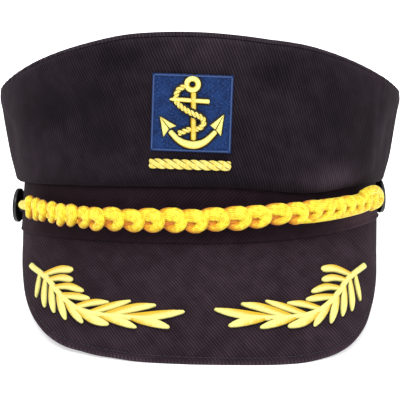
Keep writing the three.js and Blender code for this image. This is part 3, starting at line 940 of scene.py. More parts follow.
@dataclass(frozen=True)
class CrownShape:
    """The outside of the crown: its wall, its seam and its top.

    A rise is a share of the wall's height, from its lower edge to the seam.
    """

    form: HatForm
    band_height: float = 26.0
    overhang: float = 0.3
    thickness: float = 2.0
    seam_front: float = 92.3
    seam_side: float = 67.5
    seam_back: float = 57.0
    apex: float = -2.5
    seam_power: float = 1.6
    front_tuck: float = 0.2
    back_tuck: float = 0.3
    # A turn, and how much higher the seam lies there.
    top_trim: Curve = Curve((
        (-120, 0), (-70, 0.1), (-50, 0.7), (-33, 0.8), (-22, 1), (-11, 0.4), (0, -0.15), (12, -0.5),
        (18, -0.45), (24, 0.1), (33, 0.8), (57, 0.45), (110, 0),
    ))
    # How many waves go round the head, and how much they lean.
    swells: tuple[tuple[int, float], ...] = ((11, 5.0), (17, -4.0))
    swell: float = 0.16
    puckers: int = 96
    pucker: float = 0.10
    # Painted light: how much paler the wall is at its seam, at its hem and at its sides.
    seam_painted_light: float = 0.22
    hem_painted_light: float = 0.15
    side_painted_light: float = 0.03
    side_turns: Pair = (56.0, 74.0)
    droop_depth: float = 3.4
    droop_turn: float = 34.0
    droop_spread: float = 17.0
    # A rise, and how far the wall stands outside the oval there.
    lean: Curve = Curve((
        (0.00, 0.8), (0.03, 2.3), (0.10, 3.2), (0.30, 5.2),
        (0.55, 7.2), (0.80, 9.2), (0.94, 10.3), (1.00, 10.1),
    ))
    dents: tuple[Patch, ...] = (
        Patch(-42, 0.58, 3.4, 14, 0.17),
        Patch(-17, 0.84, 1.0, 9, 0.12),
        Patch(21, 0.74, 1.2, 8, 0.20),
        Patch(-75, 0.38, 1.4, 7, 0.22),
        Patch(72, 0.50, 1.6, 6, 0.35),
        Patch(140, 0.50, 2.2, 17, 0.30),
        Patch(-148, 0.62, 1.8, 15, 0.25),
    )
    # Painted shade in soft patches; a depth below 0 is painted light.
    shades: tuple[Patch, ...] = (
        Patch(-33, 0.60, 0.55, 9, 0.14),
        Patch(-48, 0.62, 0.60, 7, 0.15),
        Patch(-22, 0.87, 0.45, 7, 0.08),
        Patch(-27, 0.36, 0.40, 8, 0.12),
        Patch(20, 0.82, 0.45, 6, 0.10),
        Patch(44, 0.62, 0.35, 8, 0.20),
        Patch(56, 0.48, 0.55, 4, 0.30),
        Patch(4, 0.95, -0.30, 24, 0.20),
        Patch(0, 0.02, 0.45, 40, 0.05),
        Patch(44, 0.08, -0.8, 12, 0.10),
        Patch(150, 0.40, 0.40, 12, 0.25),
        Patch(-135, 0.60, 0.35, 10, 0.20),
    )
    creases: tuple[Crease, ...] = (
        Crease(60, 0.95, 66, 0.1, 4, 0.45),
        Crease(78, 0.9, 80, 0.2, 3.5, 0.5),
        Crease(-58, 0.8, -50, 0.12, 5, 0.4),
        Crease(-36, 0.7, -41, 0.1, 4, 0.3),
        Crease(-82, 0.85, -70, 0.5, 4, 0.4),
        Crease(30, 0.92, 44, 0.55, 5, 0.35),
        Crease(26, 0.3, 52, 0.16, 5, 0.35),
        Crease(-30, 0.22, -66, 0.3, 5, 0.3),
        Crease(110, 0.85, 122, 0.25, 6, 0.6),
        Crease(160, 0.8, 172, 0.2, 6, 0.6),
        Crease(-112, 0.8, -120, 0.2, 6, 0.6),
        Crease(-168, 0.4, -140, 0.25, 6, 0.5),
    )

    def seam_height(self, turn: Array) -> Array:
        """Returns the height of the seam between wall and top."""
        front = np.cos(np.radians(turn - self.apex))
        end = np.where(front > 0, self.seam_front, self.seam_back)
        height = lerp(self.seam_side, end, np.abs(front) ** self.seam_power)
        return height + self.top_trim(turn_between(0, turn))

    def foot(self, turn: Array) -> Array:
        """Returns the height of the wall's lower edge."""
        sag = bell(turn_between(self.droop_turn, turn), 0, self.droop_spread)
        return self.band_height - self.overhang - self.droop_depth * sag

    def slack(self, turn: Array, rise: Array) -> Array:
        """Returns how far soft creases and stitch puckers pull the wall in, in millimetres."""
        pull = sum(fold.at(turn, rise) for fold in self.creases)
        swell = sum(np.sin(np.radians(count * turn) + lean * rise) for count, lean in self.swells)
        middle = ease(rise, 0.05, 0.3) * (1 - ease(rise, 0.8, 1.0))
        pucker = np.sin(np.radians(self.puckers * turn)) * ease(rise, 0.9, 1.0)
        return pull + self.swell * swell * middle + self.pucker * pucker

    def wall_out(self, turn: Array, rise: Array, soft: bool = True) -> Array:
        """Returns how far the wall stands outside the oval.

        Args:
            turn: The turn round the head.
            rise: The share of the wall's height.
            soft: Whether small creases are in it too.
        """
        front = np.cos(np.radians(turn))
        tuck = np.where(front > 0, self.front_tuck, self.back_tuck)
        out = self.lean(rise) * (1 - tuck * front**2)
        for dent in self.dents:
            out = out - dent.at(turn, rise)
        return out - self.slack(turn, rise) if soft else out

    def paler_and_painted_light(self, turn: Array, rise: Array) -> Array:
        """Returns the wall's painted light and shade: above 0 it is paler, below 0 darker."""
        paler_and_painted_light = self.seam_painted_light * ease(rise, 0.95, 1.0) + self.hem_painted_light * (1 - ease(rise, 0.0, 0.03))
        paler_and_painted_light = paler_and_painted_light + self.side_painted_light * ease(np.abs(turn_between(0, turn)), *self.side_turns)
        for shade in self.shades:
            paler_and_painted_light = paler_and_painted_light - shade.at(turn, rise)
        return paler_and_painted_light

    def wall(self, turn: Array, rise: Array, inwards: float = 0.0, soft: bool = True) -> Array:
        """Returns places on the wall, or inwards from it."""
        height = lerp(self.foot(turn), self.seam_height(turn), rise)
        return self.form.oval(turn, self.wall_out(turn, rise, soft) - inwards, height)


@dataclass(frozen=True)
class PeakShape:
    """The outside of the peak, a bowed tongue from the band's lower edge.

    In plan its outer edge is a curve between an oval and a box. At each end, beyond the heel's
    turn, it rises to meet the band where that is cut back.
    """

    form: HatForm
    half_width: float = 87.2
    reach: float = 132.5
    drop: float = 49.7
    squareness: float = 4.75
    front_round: float = 1.75
    thickness: float = 3.0
    bow: float = 2.5
    tuck: float = 0.6
    root_gap: float = -0.3
    end_turn: float = 88.0
    heel_turn: float = 66.0
    heel_share: float = 0.6
    crest: float = 0.7
    crest_lead: float = 4.0
    full_bow: float = 60.0
    search: Pair = (50.0, 200.0)
    halvings: int = 40
    # A turn, and the share by which the edge lies further out there.
    trim: Curve = Curve((
        (-88, -0.009), (-73, -0.002), (-61, 0.002), (-46, 0.009), (-41, 0.007), (-36, 0.001),
        (-32, -0.007), (-28, -0.019), (-23, -0.038), (-18, -0.040), (-12, -0.025), (-6, -0.014),
        (0, -0.005), (16, 0.002), (22, 0.006), (27, 0.016), (31, 0.021), (36, 0.020), (44, 0.010),
        (55, 0.001), (67, -0.008), (79, -0.014), (88, -0.036),
    ))

    def edge(self, turn: Array) -> Array:
        """Returns places on the outer edge."""
        around = np.radians(turn)
        side = np.abs(np.sin(around)) / self.half_width
        front = np.cos(around) / self.reach
        near, far = (np.full(np.shape(turn), limit) for limit in self.search)
        for _ in range(self.halvings):
            middle = 0.5 * (near + far)
            size = (middle * side) ** self.squareness + (middle * front) ** self.front_round
            near = np.where(size < 1, middle, near)
            far = np.where(size < 1, far, middle)
        radius = near * (1 + self.trim(turn))
        y = -radius * np.cos(around)
        lift = self.form.lift(turn) * ease(np.abs(turn), self.heel_turn, self.end_turn)
        heel = self.heel_share * lift
        return np.stack([radius * np.sin(around), y, self.drop * y / self.reach + heel], axis=-1)

    def chart(self, turn: Array, across: Array) -> tuple[Array, Array]:
        """Gives places on the outside.

        Args:
            turn: The turn round the head.
            across: The share of the way from the band to the edge.

        Returns:
            The places and the outward directions.
        """
        turn, across = np.broadcast_arrays(turn, across)
        root = self.form.oval(turn, -self.tuck, self.form.lift(turn) - self.root_gap)
        along = self.edge(turn) - root
        length = np.linalg.norm(along, axis=-1, keepdims=True)
        along = along / length
        around = np.radians(turn)
        flat_from, flat_at = self.heel_turn - self.crest_lead, self.end_turn - self.crest_lead
        crest = self.crest * (1 - ease(np.abs(turn), flat_from, flat_at))
        normal = np.stack([np.sin(around), -np.cos(around), crest], axis=-1)
        normal = unit(normal - along * np.sum(normal * along, axis=-1, keepdims=True))
        share = across[..., None]
        bow = self.bow * np.minimum(1, length / self.full_bow) * 4 * share * (1 - share)
        return root + along * length * share + normal * bow, normal


@dataclass
class Piece:
    """A piece of the hat: its name, its material slot and the nodes that it stands for."""

    form: HatForm
    name: str
    slot: str
    nodes: tuple[str, ...] = ()

    def settle(self, piece: Object, material: Material) -> None:
        """Gives a finished mesh its material and its place in the frame.

        Args:
            piece: The mesh.
            material: Its finish.
        """
        piece.name = self.name
        piece.data.name = self.name
        piece.data.materials.clear()
        piece.data.materials.append(material)
        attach(piece, BODY)
        if self.nodes:
            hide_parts(*self.nodes)
        LOG.info("%s: %d faces", self.name, len(piece.data.polygons))


@dataclass
class CrownWall(Piece):
    """The crown's wall: one strip of twill whose hem hangs over the band."""

    shape: CrownShape = field(kw_only=True)
    turns: int = 420
    outside: int = 56
    inside: int = 16
    band_gap: float = 0.3
    clear: float = -1.0
    band_top_out: float = -1.4
    # How far out of the clear oval, and above the lower edge, the hem turns over.
    hem: Pairs = ((0.0, 0.6), (0.35, 0.15))
    hem_rises: tuple[float, ...] = (0.0, 0.006, 0.014, 0.024)
    first_rise: float = 0.035
    inside_foot: float = 0.1
    cloth_out: float = 6.0
    cloth_height: float = 66.0
    hem_cloth: tuple[float, ...] = (-3.5, -2.0, -1.0, -0.4)
    inside_cloth: float = 150.0

    def build(self) -> Object:
        """Returns the wall as one closed ring of cloth."""
        turn = np.linspace(-180, 180, self.turns + 1)
        oval = self.form.oval
        shape = self.shape
        foot = shape.foot(turn)
        top = shape.band_height + self.band_gap
        rows = [oval(turn, out, top) for out in (self.band_top_out - shape.thickness, self.clear)]
        rows += [oval(turn, self.clear + out, foot + up) for out, up in self.hem]
        rises = np.concatenate([self.hem_rises, np.linspace(self.first_rise, 1, self.outside)])
        falls = np.linspace(1, self.inside_foot, self.inside)
        rows += [shape.wall(turn, rise) for rise in rises]
        rows += [shape.wall(turn, rise, shape.thickness) for rise in falls]
        rows.append(rows[0])
        points = np.stack(rows)
        middle = self.form.arc(turn, self.cloth_out)
        inner = self.inside_cloth - self.cloth_height * falls
        ups = np.concatenate([self.hem_cloth, self.cloth_height * rises, inner, [self.inside_cloth]])
        weave = np.stack(np.broadcast_arrays(middle[None], ups[:, None]), axis=-1)
        # The wall's outside rows carry its painted light and shade.
        paler_and_painted_light = np.zeros(points.shape[:2])
        first = len(rows) - 1 - self.inside - len(rises)
        paler_and_painted_light[first : first + len(rises)] = shape.paler_and_painted_light(turn[None], rises[:, None])
        return bend_grid(self.name, Grid(points, weave, {"paler_and_painted_light": paler_and_painted_light}), self.form)


@dataclass
class CrownTop(Piece):
    """The crown's top panel: puffed over the seam, slightly domed and a little slack."""

    shape: CrownShape = field(kw_only=True)
    turns: int = 420
    puff: float = 2.5
    middle: float = 77.5
    dome: float = 3.5
    gap: float = 0.15
    # How far in from the wall's outside, and below the rim's lower edge, the lip runs.
    lip: Pairs = ((2.9, 1.8), (2.3, 1.8), (2.3, 0.0))
    shares: int = 30
    first_ring: float = 1.5
    pucker: float = 0.12
    puckers: int = 96
    wave: float = 0.45
    wave_edge: float = 0.25
    rim_paler: float = 0.55
    # A wave's share, its radians in a millimetre to the right and to the back, and its phase.
    waves: Rows = (
        (1, 0.055, 0.031, 1), (1, -0.026, 0.083, 0), (0.5, 0.12, 0.09, 2),
    )
    # How far in from the wall's outside the rim is, and its share of the puff's height.
    rim: Pairs = (
        (1.5, 0), (0.5, 0.02), (0.15, 0.12), (0, 0.40), (0.5, 0.68), (1.4, 0.88), (2.6, 0.97),
    )

    def height(self, turn: Array, share: Array) -> Array:
        """Returns the height of the outside at a share of the way to the seam."""
        shape = self.shape
        rim = shape.seam_height(turn) + self.puff
        fall = 0.5 * (shape.seam_front - shape.seam_back) * np.cos(np.radians(turn))
        curve = self.middle + fall * share + (rim - self.middle - fall) * share**2
        return curve + self.dome * (1 - share**2) * np.sqrt(share)

    def slack(self, points: Array) -> Array:
        """Returns the height of soft waves in the cloth."""
        x, y = points[..., 0], points[..., 1]
        return self.wave * sum(
            share * np.sin(right * x + back * y + phase) for share, right, back, phase in self.waves
        )

    def build(self) -> Object:
        """Returns the top as one closed sheet with a thickness."""
        turn = np.linspace(-180, 180, self.turns + 1)
        oval = self.form.oval
        shape = self.shape
        edge = shape.wall_out(turn, 1.0)
        seam = shape.seam_height(turn)
        rows = []
        inner = self.rim[-1][0] + self.first_ring
        shares = np.linspace(1 - inner / self.form.half_width, 0, self.shares)
        for inset, puffed in self.rim:
            pucker = self.pucker * np.sin(np.radians(self.puckers * turn)) * (1 - puffed)
            height = seam + self.gap + (self.puff - self.gap) * puffed
            rows.append(oval(turn, edge - inset - pucker, height))
        rows += [self.ring(turn, share, 0.0) for share in shares]
        rows += [self.ring(turn, share, shape.thickness) for share in shares[::-1]]
        foot = seam + self.gap
        rows += [oval(turn, edge - inset, foot - drop) for inset, drop in self.lip]
        rows.append(rows[0])
        points = np.stack(rows)
        weave = points[..., :2].copy()
        paler_and_painted_light = np.zeros(points.shape[:2])
        # Painted highlight along the puffed rim over the seam.
        paler_and_painted_light[1 : len(self.rim)] = self.rim_paler
        return bend_grid(self.name, Grid(points, weave, {"paler_and_painted_light": paler_and_painted_light}), self.form)

    def ring(self, turn: Array, share: float, down: float) -> Array:
        """Gives one ring of the panel.

        Args:
            turn: The turns round the head.
            share: The share of the way from the middle to the seam.
            down: How far under the outside it lies.

        Returns:
            The ring's places.
        """
        height = self.height(turn, np.array(share)) - down
        flat = self.form.oval(turn, self.shape.wall_out(turn, 1.0), height)
        flat[..., :2] *= share
        flat[..., 2] += self.slack(flat) * ease(1 - share, 0, self.wave_edge)
        return flat


@dataclass
class Band(Piece):
    """The band: a strip of twill with a rolled lower edge and faint ripples."""

    turns: int = 420
    height: float = 26.0
    thickness: float = 3.0
    foot_out: float = 0.3
    top_out: float = -1.4
    roll: float = 1.3
    roll_rows: int = 7
    outside: int = 26
    inside: int = 8
    top_edge: float = 0.6
    ripple: float = 0.12
    ripples: int = 23
    ripple_lean: float = 3.0
    tug: float = 0.35
    tug_turn: float = 48.0
    tug_spread: float = 9.0
    tug_waves: float = 0.9
    tug_slope: float = 0.16
    roll_cloth: float = -2.0
    outside_cloth: float = 24.0
    top_cloth: Pair = (26.0, 29.0)
    inside_cloth: Pair = (32.0, 58.0)
    last_cloth: float = 60.0
    # The turn, the spread and the strength of the paler stretches below the braid.
    faded: tuple[Place, ...] = ((62.0, 16.0, 1.1), (-76.0, 14.0, 0.2))
    braid_foot: Pair = (7.0, 15.0)
    strip: Pair = (20.0, 6.0)
    strip_shade: float = 0.1

    def out(self, turn: Array, height: Array) -> Array:
        """Returns how far the band's outside stands outside the oval."""
        share = height / self.height
        ripple = self.ripple * np.sin(np.radians(self.ripples * turn) + self.ripple_lean * share)
        near = bell(turn_between(self.tug_turn, turn), 0, self.tug_spread)
        tugs = self.tug * near * np.sin(self.tug_waves * (height - self.tug_slope * turn))
        return lerp(self.foot_out, self.top_out, share) + (ripple + tugs) * (1 - share)

    def paler_and_painted_light(self, turn: Array, up: Array) -> Array:
        """Returns how much paler the band is, with a row for each way up its cloth; a strip near its
        top is darker, a painted shade.
        """
        faded = sum(strength * bell(turn, place, spread) for place, spread, strength in self.faded)
        below = 1 - ease(up, *self.braid_foot)
        return faded * below[:, None] - self.strip_shade * bell(up, *self.strip)[:, None]

    def build(self) -> Object:
        """Returns the band as one closed ring of cloth."""
        turn = np.linspace(-180, 180, self.turns + 1)
        oval = self.form.oval
        lift = self.form.lift(turn)
        roll = self.roll
        rows = []
        weave = []
        for angle in np.radians(np.linspace(-90, 0, self.roll_rows)):
            out = self.foot_out - roll + roll * math.cos(angle)
            rows.append(oval(turn, out, lift + roll * (1 + math.sin(angle))))
            weave.append(self.roll_cloth + roll * (angle + math.pi / 2))
        for share in np.linspace(0, 1, self.outside)[1:]:
            height = lerp(lift + roll, self.height - self.top_edge, share)
            rows.append(oval(turn, self.out(turn, height), height))
            weave.append(self.outside_cloth * share)
        rows.append(oval(turn, self.top_out - self.top_edge, self.height))
        rows.append(oval(turn, self.top_out - self.thickness, self.height))
        for share in np.linspace(1, 0, self.inside)[1:]:
            height = lerp(lift, self.height, share)
            out = lerp(self.foot_out, self.top_out, share) - self.thickness
            rows.append(oval(turn, out, height))
        weave += [*self.top_cloth, *np.linspace(*self.inside_cloth, self.inside - 1), self.last_cloth]
        rows.append(rows[0])
        points = self.form.pressed(np.stack(rows))
        up = np.array(weave)
        places = np.broadcast_arrays(self.form.arc(turn)[None], up[:, None])
        grid = Grid(points, np.stack(places, axis=-1), {"paler_and_painted_light": self.paler_and_painted_light(turn, up)})
        return bend_grid(self.name, grid, self.form)


@dataclass(frozen=True)
class StitchRow:
    """A row of short machine stitches along a line on a surface."""

    length: float = 2.2
    gap: float = 0.8
    half: float = 0.27
    sides: int = 7
    least: float = 0.02
    rise: float = 0.2
    sunk: float = 0.32
    thin: float = 0.4

    def build(self, path: Array, normals: Array) -> Grid:
        """Lays the stitches as one thread, which dips under between them.

        Args:
            path: The row's line on the hat.
            normals: The way out along it.

        Returns:
            The thread's sheet.
        """
        share = np.mod(lengths_along(path), self.length + self.gap) / self.length
        over = np.sqrt(np.maximum(self.least, 1 - np.clip(2 * share - 1, -1, 1) ** 2))
        middle = path + normals * (self.rise * over - self.sunk)[:, None]
        size = self.half * (self.thin + (1 - self.thin) * over)
        return sweep(middle, normals, size, size, Profile.ROUND, self.sides)


@dataclass
class Peak(Piece):
    """The peak: twill drawn over a stiff board, with a rolled and stitched edge."""

    shape: PeakShape = field(kw_only=True)
    turns: int = 300
    across: int = 70
    roll: float = 1.5
    stitched_turn: float = 62.0
    stitch_steps: int = 1300
    groove: float = 2.7
    groove_depth: float = 0.3
    groove_spread: float = 0.55
    rim_rows: int = 9
    under_rows: int = 30
    bend_turns: Pair = (58.0, 74.0)
    fold_paler: float = 0.1
    fold_spread: float = 0.7
    edge_paler: float = 0.04
    edge_spread: float = 9.0
    rim_paler: tuple[float, ...] = (0.16, 0.3, 0.5)

    def outwards(self, turn: Array) -> Array:
        """Returns the way from the band to the peak's edge."""
        edge, _ = self.shape.chart(turn, np.array(1.0))
        root, _ = self.shape.chart(turn, np.array(0.0))
        return edge - root

    def build(self) -> Object:
        """Returns the peak as one closed body."""
        shape = self.shape
        turn = np.linspace(-shape.end_turn, shape.end_turn, self.turns + 1)
        outwards = self.outwards(turn)
        reach = np.linalg.norm(outwards, axis=-1)
        along = unit(outwards)
        rows, ways, paler_and_painted_light = [], [], []
        inner = 1 - self.roll / np.maximum(reach, 4 * self.roll)
        # The rows are closer together towards the edge.
        for share in ease(np.linspace(0, 1, self.across), -1, 1) * 2 - 1:
            place, up = shape.chart(turn, share * inner)
            from_edge = reach * (1 - share * inner)
            sunk = self.groove_depth * bell(from_edge, self.groove, self.groove_spread)
            rows.append(place - up * sunk[:, None])
            ways.append(reach * share * inner)
            # The fold by the rolled edge, the edge itself and the roll are paler.
            fold = self.fold_paler * bell(from_edge, self.roll, self.fold_spread)
            paler_and_painted_light.append(fold + self.edge_paler * bell(from_edge, 0, self.edge_spread))
        half = shape.thickness / 2
        for lean in np.radians(np.linspace(90, -90, self.rim_rows)[1:]):
            place, up = shape.chart(turn, inner)
            out = np.minimum(self.roll, 0.25 * reach) * math.cos(lean)
            rows.append(place + along * out[:, None] + up * (half * (math.sin(lean) - 1)))
            ways.append(reach + 0.5 * self.roll)
        for share in np.linspace(1, 0, self.under_rows)[1:]:
            place, up = shape.chart(turn, share * inner)
            rows.append(place - up * shape.thickness)
            ways.append(-reach * share)
        root_height = self.form.lift(turn) - shape.root_gap
        rows[-1] = self.form.oval(turn, -shape.tuck - shape.thickness, root_height)
        rows.append(rows[0])
        ways.append(ways[0])
        points = self.form.pressed(np.stack(rows))
        middle, _ = shape.chart(turn, np.array(0.5))
        back = np.abs(np.diff(middle[:, 1], prepend=middle[0, 1]))
        back = np.cumsum(back * ease(np.abs(turn), *self.bend_turns))
        back = back - np.interp(0, turn, back)
        weave = np.stack([points[..., 0] + back, -np.stack(ways)], axis=-1)
        paler_and_painted_light += [np.full(turn.shape, shade) for shade in self.rim_paler]
        paler_and_painted_light += [np.zeros(turn.shape)] * (len(rows) - len(paler_and_painted_light))
        piece = bend_grid(self.name, Grid(points, weave, {"paler_and_painted_light": np.stack(paler_and_painted_light)}), self.form)
        bpy.ops.object.mode_set(mode="EDIT")
        bpy.ops.mesh.select_all(action="DESELECT")
        bpy.ops.mesh.select_non_manifold()
        bpy.ops.mesh.fill()
        bpy.ops.object.mode_set(mode="OBJECT")
        close_up()
        return piece

    def stitches(self) -> Object:
        """Returns the row of stitches along the peak's edge."""
        turn = np.linspace(-self.stitched_turn, self.stitched_turn, self.stitch_steps)
        reach = np.linalg.norm(self.outwards(turn), axis=-1)
        path, normals = self.shape.chart(turn, 1 - self.groove / reach)
        return bend_grid("stitches", StitchRow().build(path, normals), self.form)


@dataclass
class Braid(Piece):
    """The gold cord: a chain of fat loops across the front, with a plain neck at each end."""

    first_tip: float = -57.4
    last_tip: float = 59.5
    middle_out: float = 3.0
    depth: float = 0.86
    steps: int = 60
    sides: int = 26
    # A turn, and the height of the cord's middle.
    line: Curve = Curve((
        (-90, 13.4), (-60, 14.6), (-44, 12.6), (-24, 11), (0, 11.1), (14, 12.5),
        (29, 14.1), (49, 16.4), (64, 18.5), (80, 18.1), (90, 17.4),
    ))
    # A turn, and the turn from that loop to the next.
    pitch: Curve = Curve((
        (-60, 3.8), (-36, 4.5), (-24, 5.8), (20, 5.9), (30, 4.8), (45, 4.3), (60, 4.2),
    ))
    # A turn, and the loops' scale upwards.
    height: Curve = Curve((
        (-60, 1.03), (-50, 0.95), (-22, 0.97), (0, 1), (30, 0.91), (60, 0.80), (68, 1),
    ))
    # A turn, and how much the loops lean.
    shear: Curve = Curve(((-60, 0.5), (-38, 0.4), (-22, 0.05), (24, 0.05), (40, 0.25), (60, 0.3)))
    # The way along the band, up and outwards, and half the cord's width.
    loop: Rows = (
        (-5.6, 0.9, 0, 2.5), (-3.6, 1.9, 1, 2.9), (-0.6, 2.3, 2, 3.1), (2.2, 2.1, 2.8, 3.1),
        (4.3, 0.6, 3.1, 3), (4.6, -1.5, 2.8, 2.8), (3.3, -3.1, 2.1, 2.5), (1.2, -3.6, 1.3, 2.2),
        (-1.2, -2.6, 0.5, 2.1), (-3.4, -1.2, 0, 2.1),
    )
    # In these three, a turn, a height and a distance from the band, and half the cord's width.
    core: Rows = (
        (-61, 13.8, 0.9, 2.3), (-44, 11.5, 0.9, 2.4), (-24, 9.8, 0.9, 2.4), (0, 9.9, 0.9, 2.4),
        (14, 11.3, 0.9, 2.4), (29, 12.9, 0.9, 2.4), (49, 14.9, 0.9, 2.3), (62, 17.2, 0.9, 2),
    )
    necks: tuple[Rows, ...] = (
        ((-58, 15.2, 1.6, 2.3), (-64, 15.2, 1, 2.3), (-69.5, 15.1, 0.1, 2.2),
         (-73.5, 14.6, -0.2, 1.6), (-77, 13.8, -0.1, 0.9), (-92, 13.4, -0.1, 0.85)),
        ((60, 18.2, 1.6, 2.2), (66, 18.4, 0.8, 2.1), (72, 18, 0, 1.5), (77, 17.8, -0.1, 0.9),
         (92, 17.4, -0.1, 0.85)),
    )
    rims: tuple[Rows, ...] = (
        ((-57, 13, 1.2, 1.6), (-50, 12.2, 2.2, 2), (-44, 11.4, 2.4, 2.1),
         (-38, 10.7, 2.2, 2), (-31, 10, 0.8, 1.4)),
        ((31, 17, 1, 1.2), (36, 17.9, 2.9, 1.5), (43, 18.6, 3, 1.6),
         (50, 19.3, 3, 1.6), (55, 20.2, 2.4, 1.5)),
        ((27, 9.9, 1.2, 1.3), (33, 10.6, 3, 1.7), (41, 11.8, 3.4, 1.8), (50, 13.3, 3.4, 1.8),
         (56, 14.5, 3, 1.8), (60, 15.2, 2.2, 1.6)),
        ((53, 20.4, 3.2, 2), (56, 22, 4, 2.3), (60.5, 22.6, 4, 2.4), (64.2, 20, 3.6, 2.4),
         (63.8, 16.6, 3.4, 2.3), (59, 14.4, 2.6, 1.9)),
    )
    slack: float = 0.28
    slack_step: float = 2.4
    slack_phases: Place = (0.0, 1.3, 2.9)
    taller: float = 0.03
    taller_step: float = 1.9
    tip_reach: float = 5.4
    plain_pitch: float = 9.3
    loop_cloth: float = 23.0
    loop_end: float = 2.0
    plain_end: float = 1.5
    lump: float = 0.05
    painted_shade_out: Pair = (0.4, 4.9)
    core_painted_shade: float = 0.82
    rim_painted_shade: float = 0.12

    def tips(self) -> list[float]:
        """Returns the turn of each loop's tip; the loops are wider in the middle."""
        turns = [self.first_tip]
        while turns[-1] < self.last_tip:
            turns.append(turns[-1] + float(self.pitch(np.array(turns[-1]))))
        return turns

    def laid(self, points: Array, way: float, size: float, tall: float) -> Array:
        """Lays a loop on the band.

        Args:
            points: The loop as modelled, along, up and outwards.
            way: Its place along the band's oval.
            size: Its scale along the band.
            tall: Its scale upwards.

        Returns:
            The points on the hat.
        """
        along = points[..., 0] + self.shear(self.form.turn_at(way)) * points[..., 1]
        turn = self.form.turn_at(way + along * size, self.middle_out)
        height = self.line(turn) + points[..., 1] * tall
        return self.form.oval(turn, self.middle_out + points[..., 2], height)

    def strand(self, rows: Line) -> Grid:
        """Gives one stretch of cord as modelled flat.

        Args:
            rows: Its route, along, up and outwards, and half its width.

        Returns:
            Its sheet, with a mark for the depth in the braid, which sets its painted shade.
        """
        route = smooth_path(rows, self.steps)
        path, half = route[:, :3], route[:, 3]
        outwards = np.tile([0.0, 0.0, 1.0], (len(path), 1))
        size = half * rounded(path, self.loop_end, self.loop_end)
        grid = sweep(path, outwards, size, self.depth * size, Profile.ROUND, self.sides)
        # Painted shade: the nearer the band, the deeper.
        grid.marks["depth"] = 1 - ease(grid.points[..., 2], *self.painted_shade_out)
        around = np.linspace(0, math.tau, self.sides + 1)
        share = np.linspace(0, 1, self.steps)[:, None]
        lumps = np.sin(3 * around + 9 * share) * np.sin(15 * share)
        lumps = lumps + 0.5 * np.sin(2 * around - 21 * share)
        grid.points += (grid.points - path[:, None]) * (self.lump * lumps)[..., None]
        return grid

    def plain(self, rows: Line, depth: float) -> Grid:
        """Gives a plain stretch of cord on the band.

        Args:
            rows: Its route, a turn, a height and a distance from the band, and half its width.
            depth: Its depth in the braid, from 0 to 1, which sets its painted shade.

        Returns:
            Its sheet on the hat.
        """
        route = smooth_path(rows, self.steps)
        half = route[:, 3]
        path = self.form.oval(route[:, 0], route[:, 2] + half, route[:, 1])
        normals = unit(path * [1, 1, 0])
        size = half * rounded(path, self.plain_end, self.plain_end)
        grid = sweep(path, normals, size, size, Profile.ROUND, self.sides)
        grid.marks["depth"] = np.full(grid.points.shape[:2], depth)
        return grid

    def build(self) -> Object:
        """Returns the chain and its necks as one piece."""
        tips = np.array(self.tips())
        ways = self.form.arc(tips, self.middle_out)
        loop = self.strand(self.loop)
        pieces = []
        for i, (tip, way, pitch) in enumerate(zip(tips, ways, np.gradient(ways))):
            size = pitch / self.plain_pitch
            tall = float(self.height(tip))
            start = way - self.tip_reach * size
            shift = self.slack * np.sin(self.slack_step * i + np.array(self.slack_phases))
            tall = tall * (1 + self.taller * math.sin(self.taller_step * i))
            points = self.laid(loop.points + shift, start, size, tall)
            weave = loop.weave + [self.loop_cloth * i, 0.0]
            pieces.append(bend_grid(f"loop_{i}", Grid(points, weave, loop.marks), self.form))
        # The core is a strand behind the loops that fills their holes with painted shade.
        plain = [("core", self.core, self.core_painted_shade)]
        plain += [("neck", rows, 0.0) for rows in self.necks]
        plain += [("rim", rows, self.rim_painted_shade) for rows in self.rims]
        for name, rows, depth in plain:
            pieces.append(bend_grid(name, self.plain(rows, depth), self.form))
        return join(self.name, pieces)


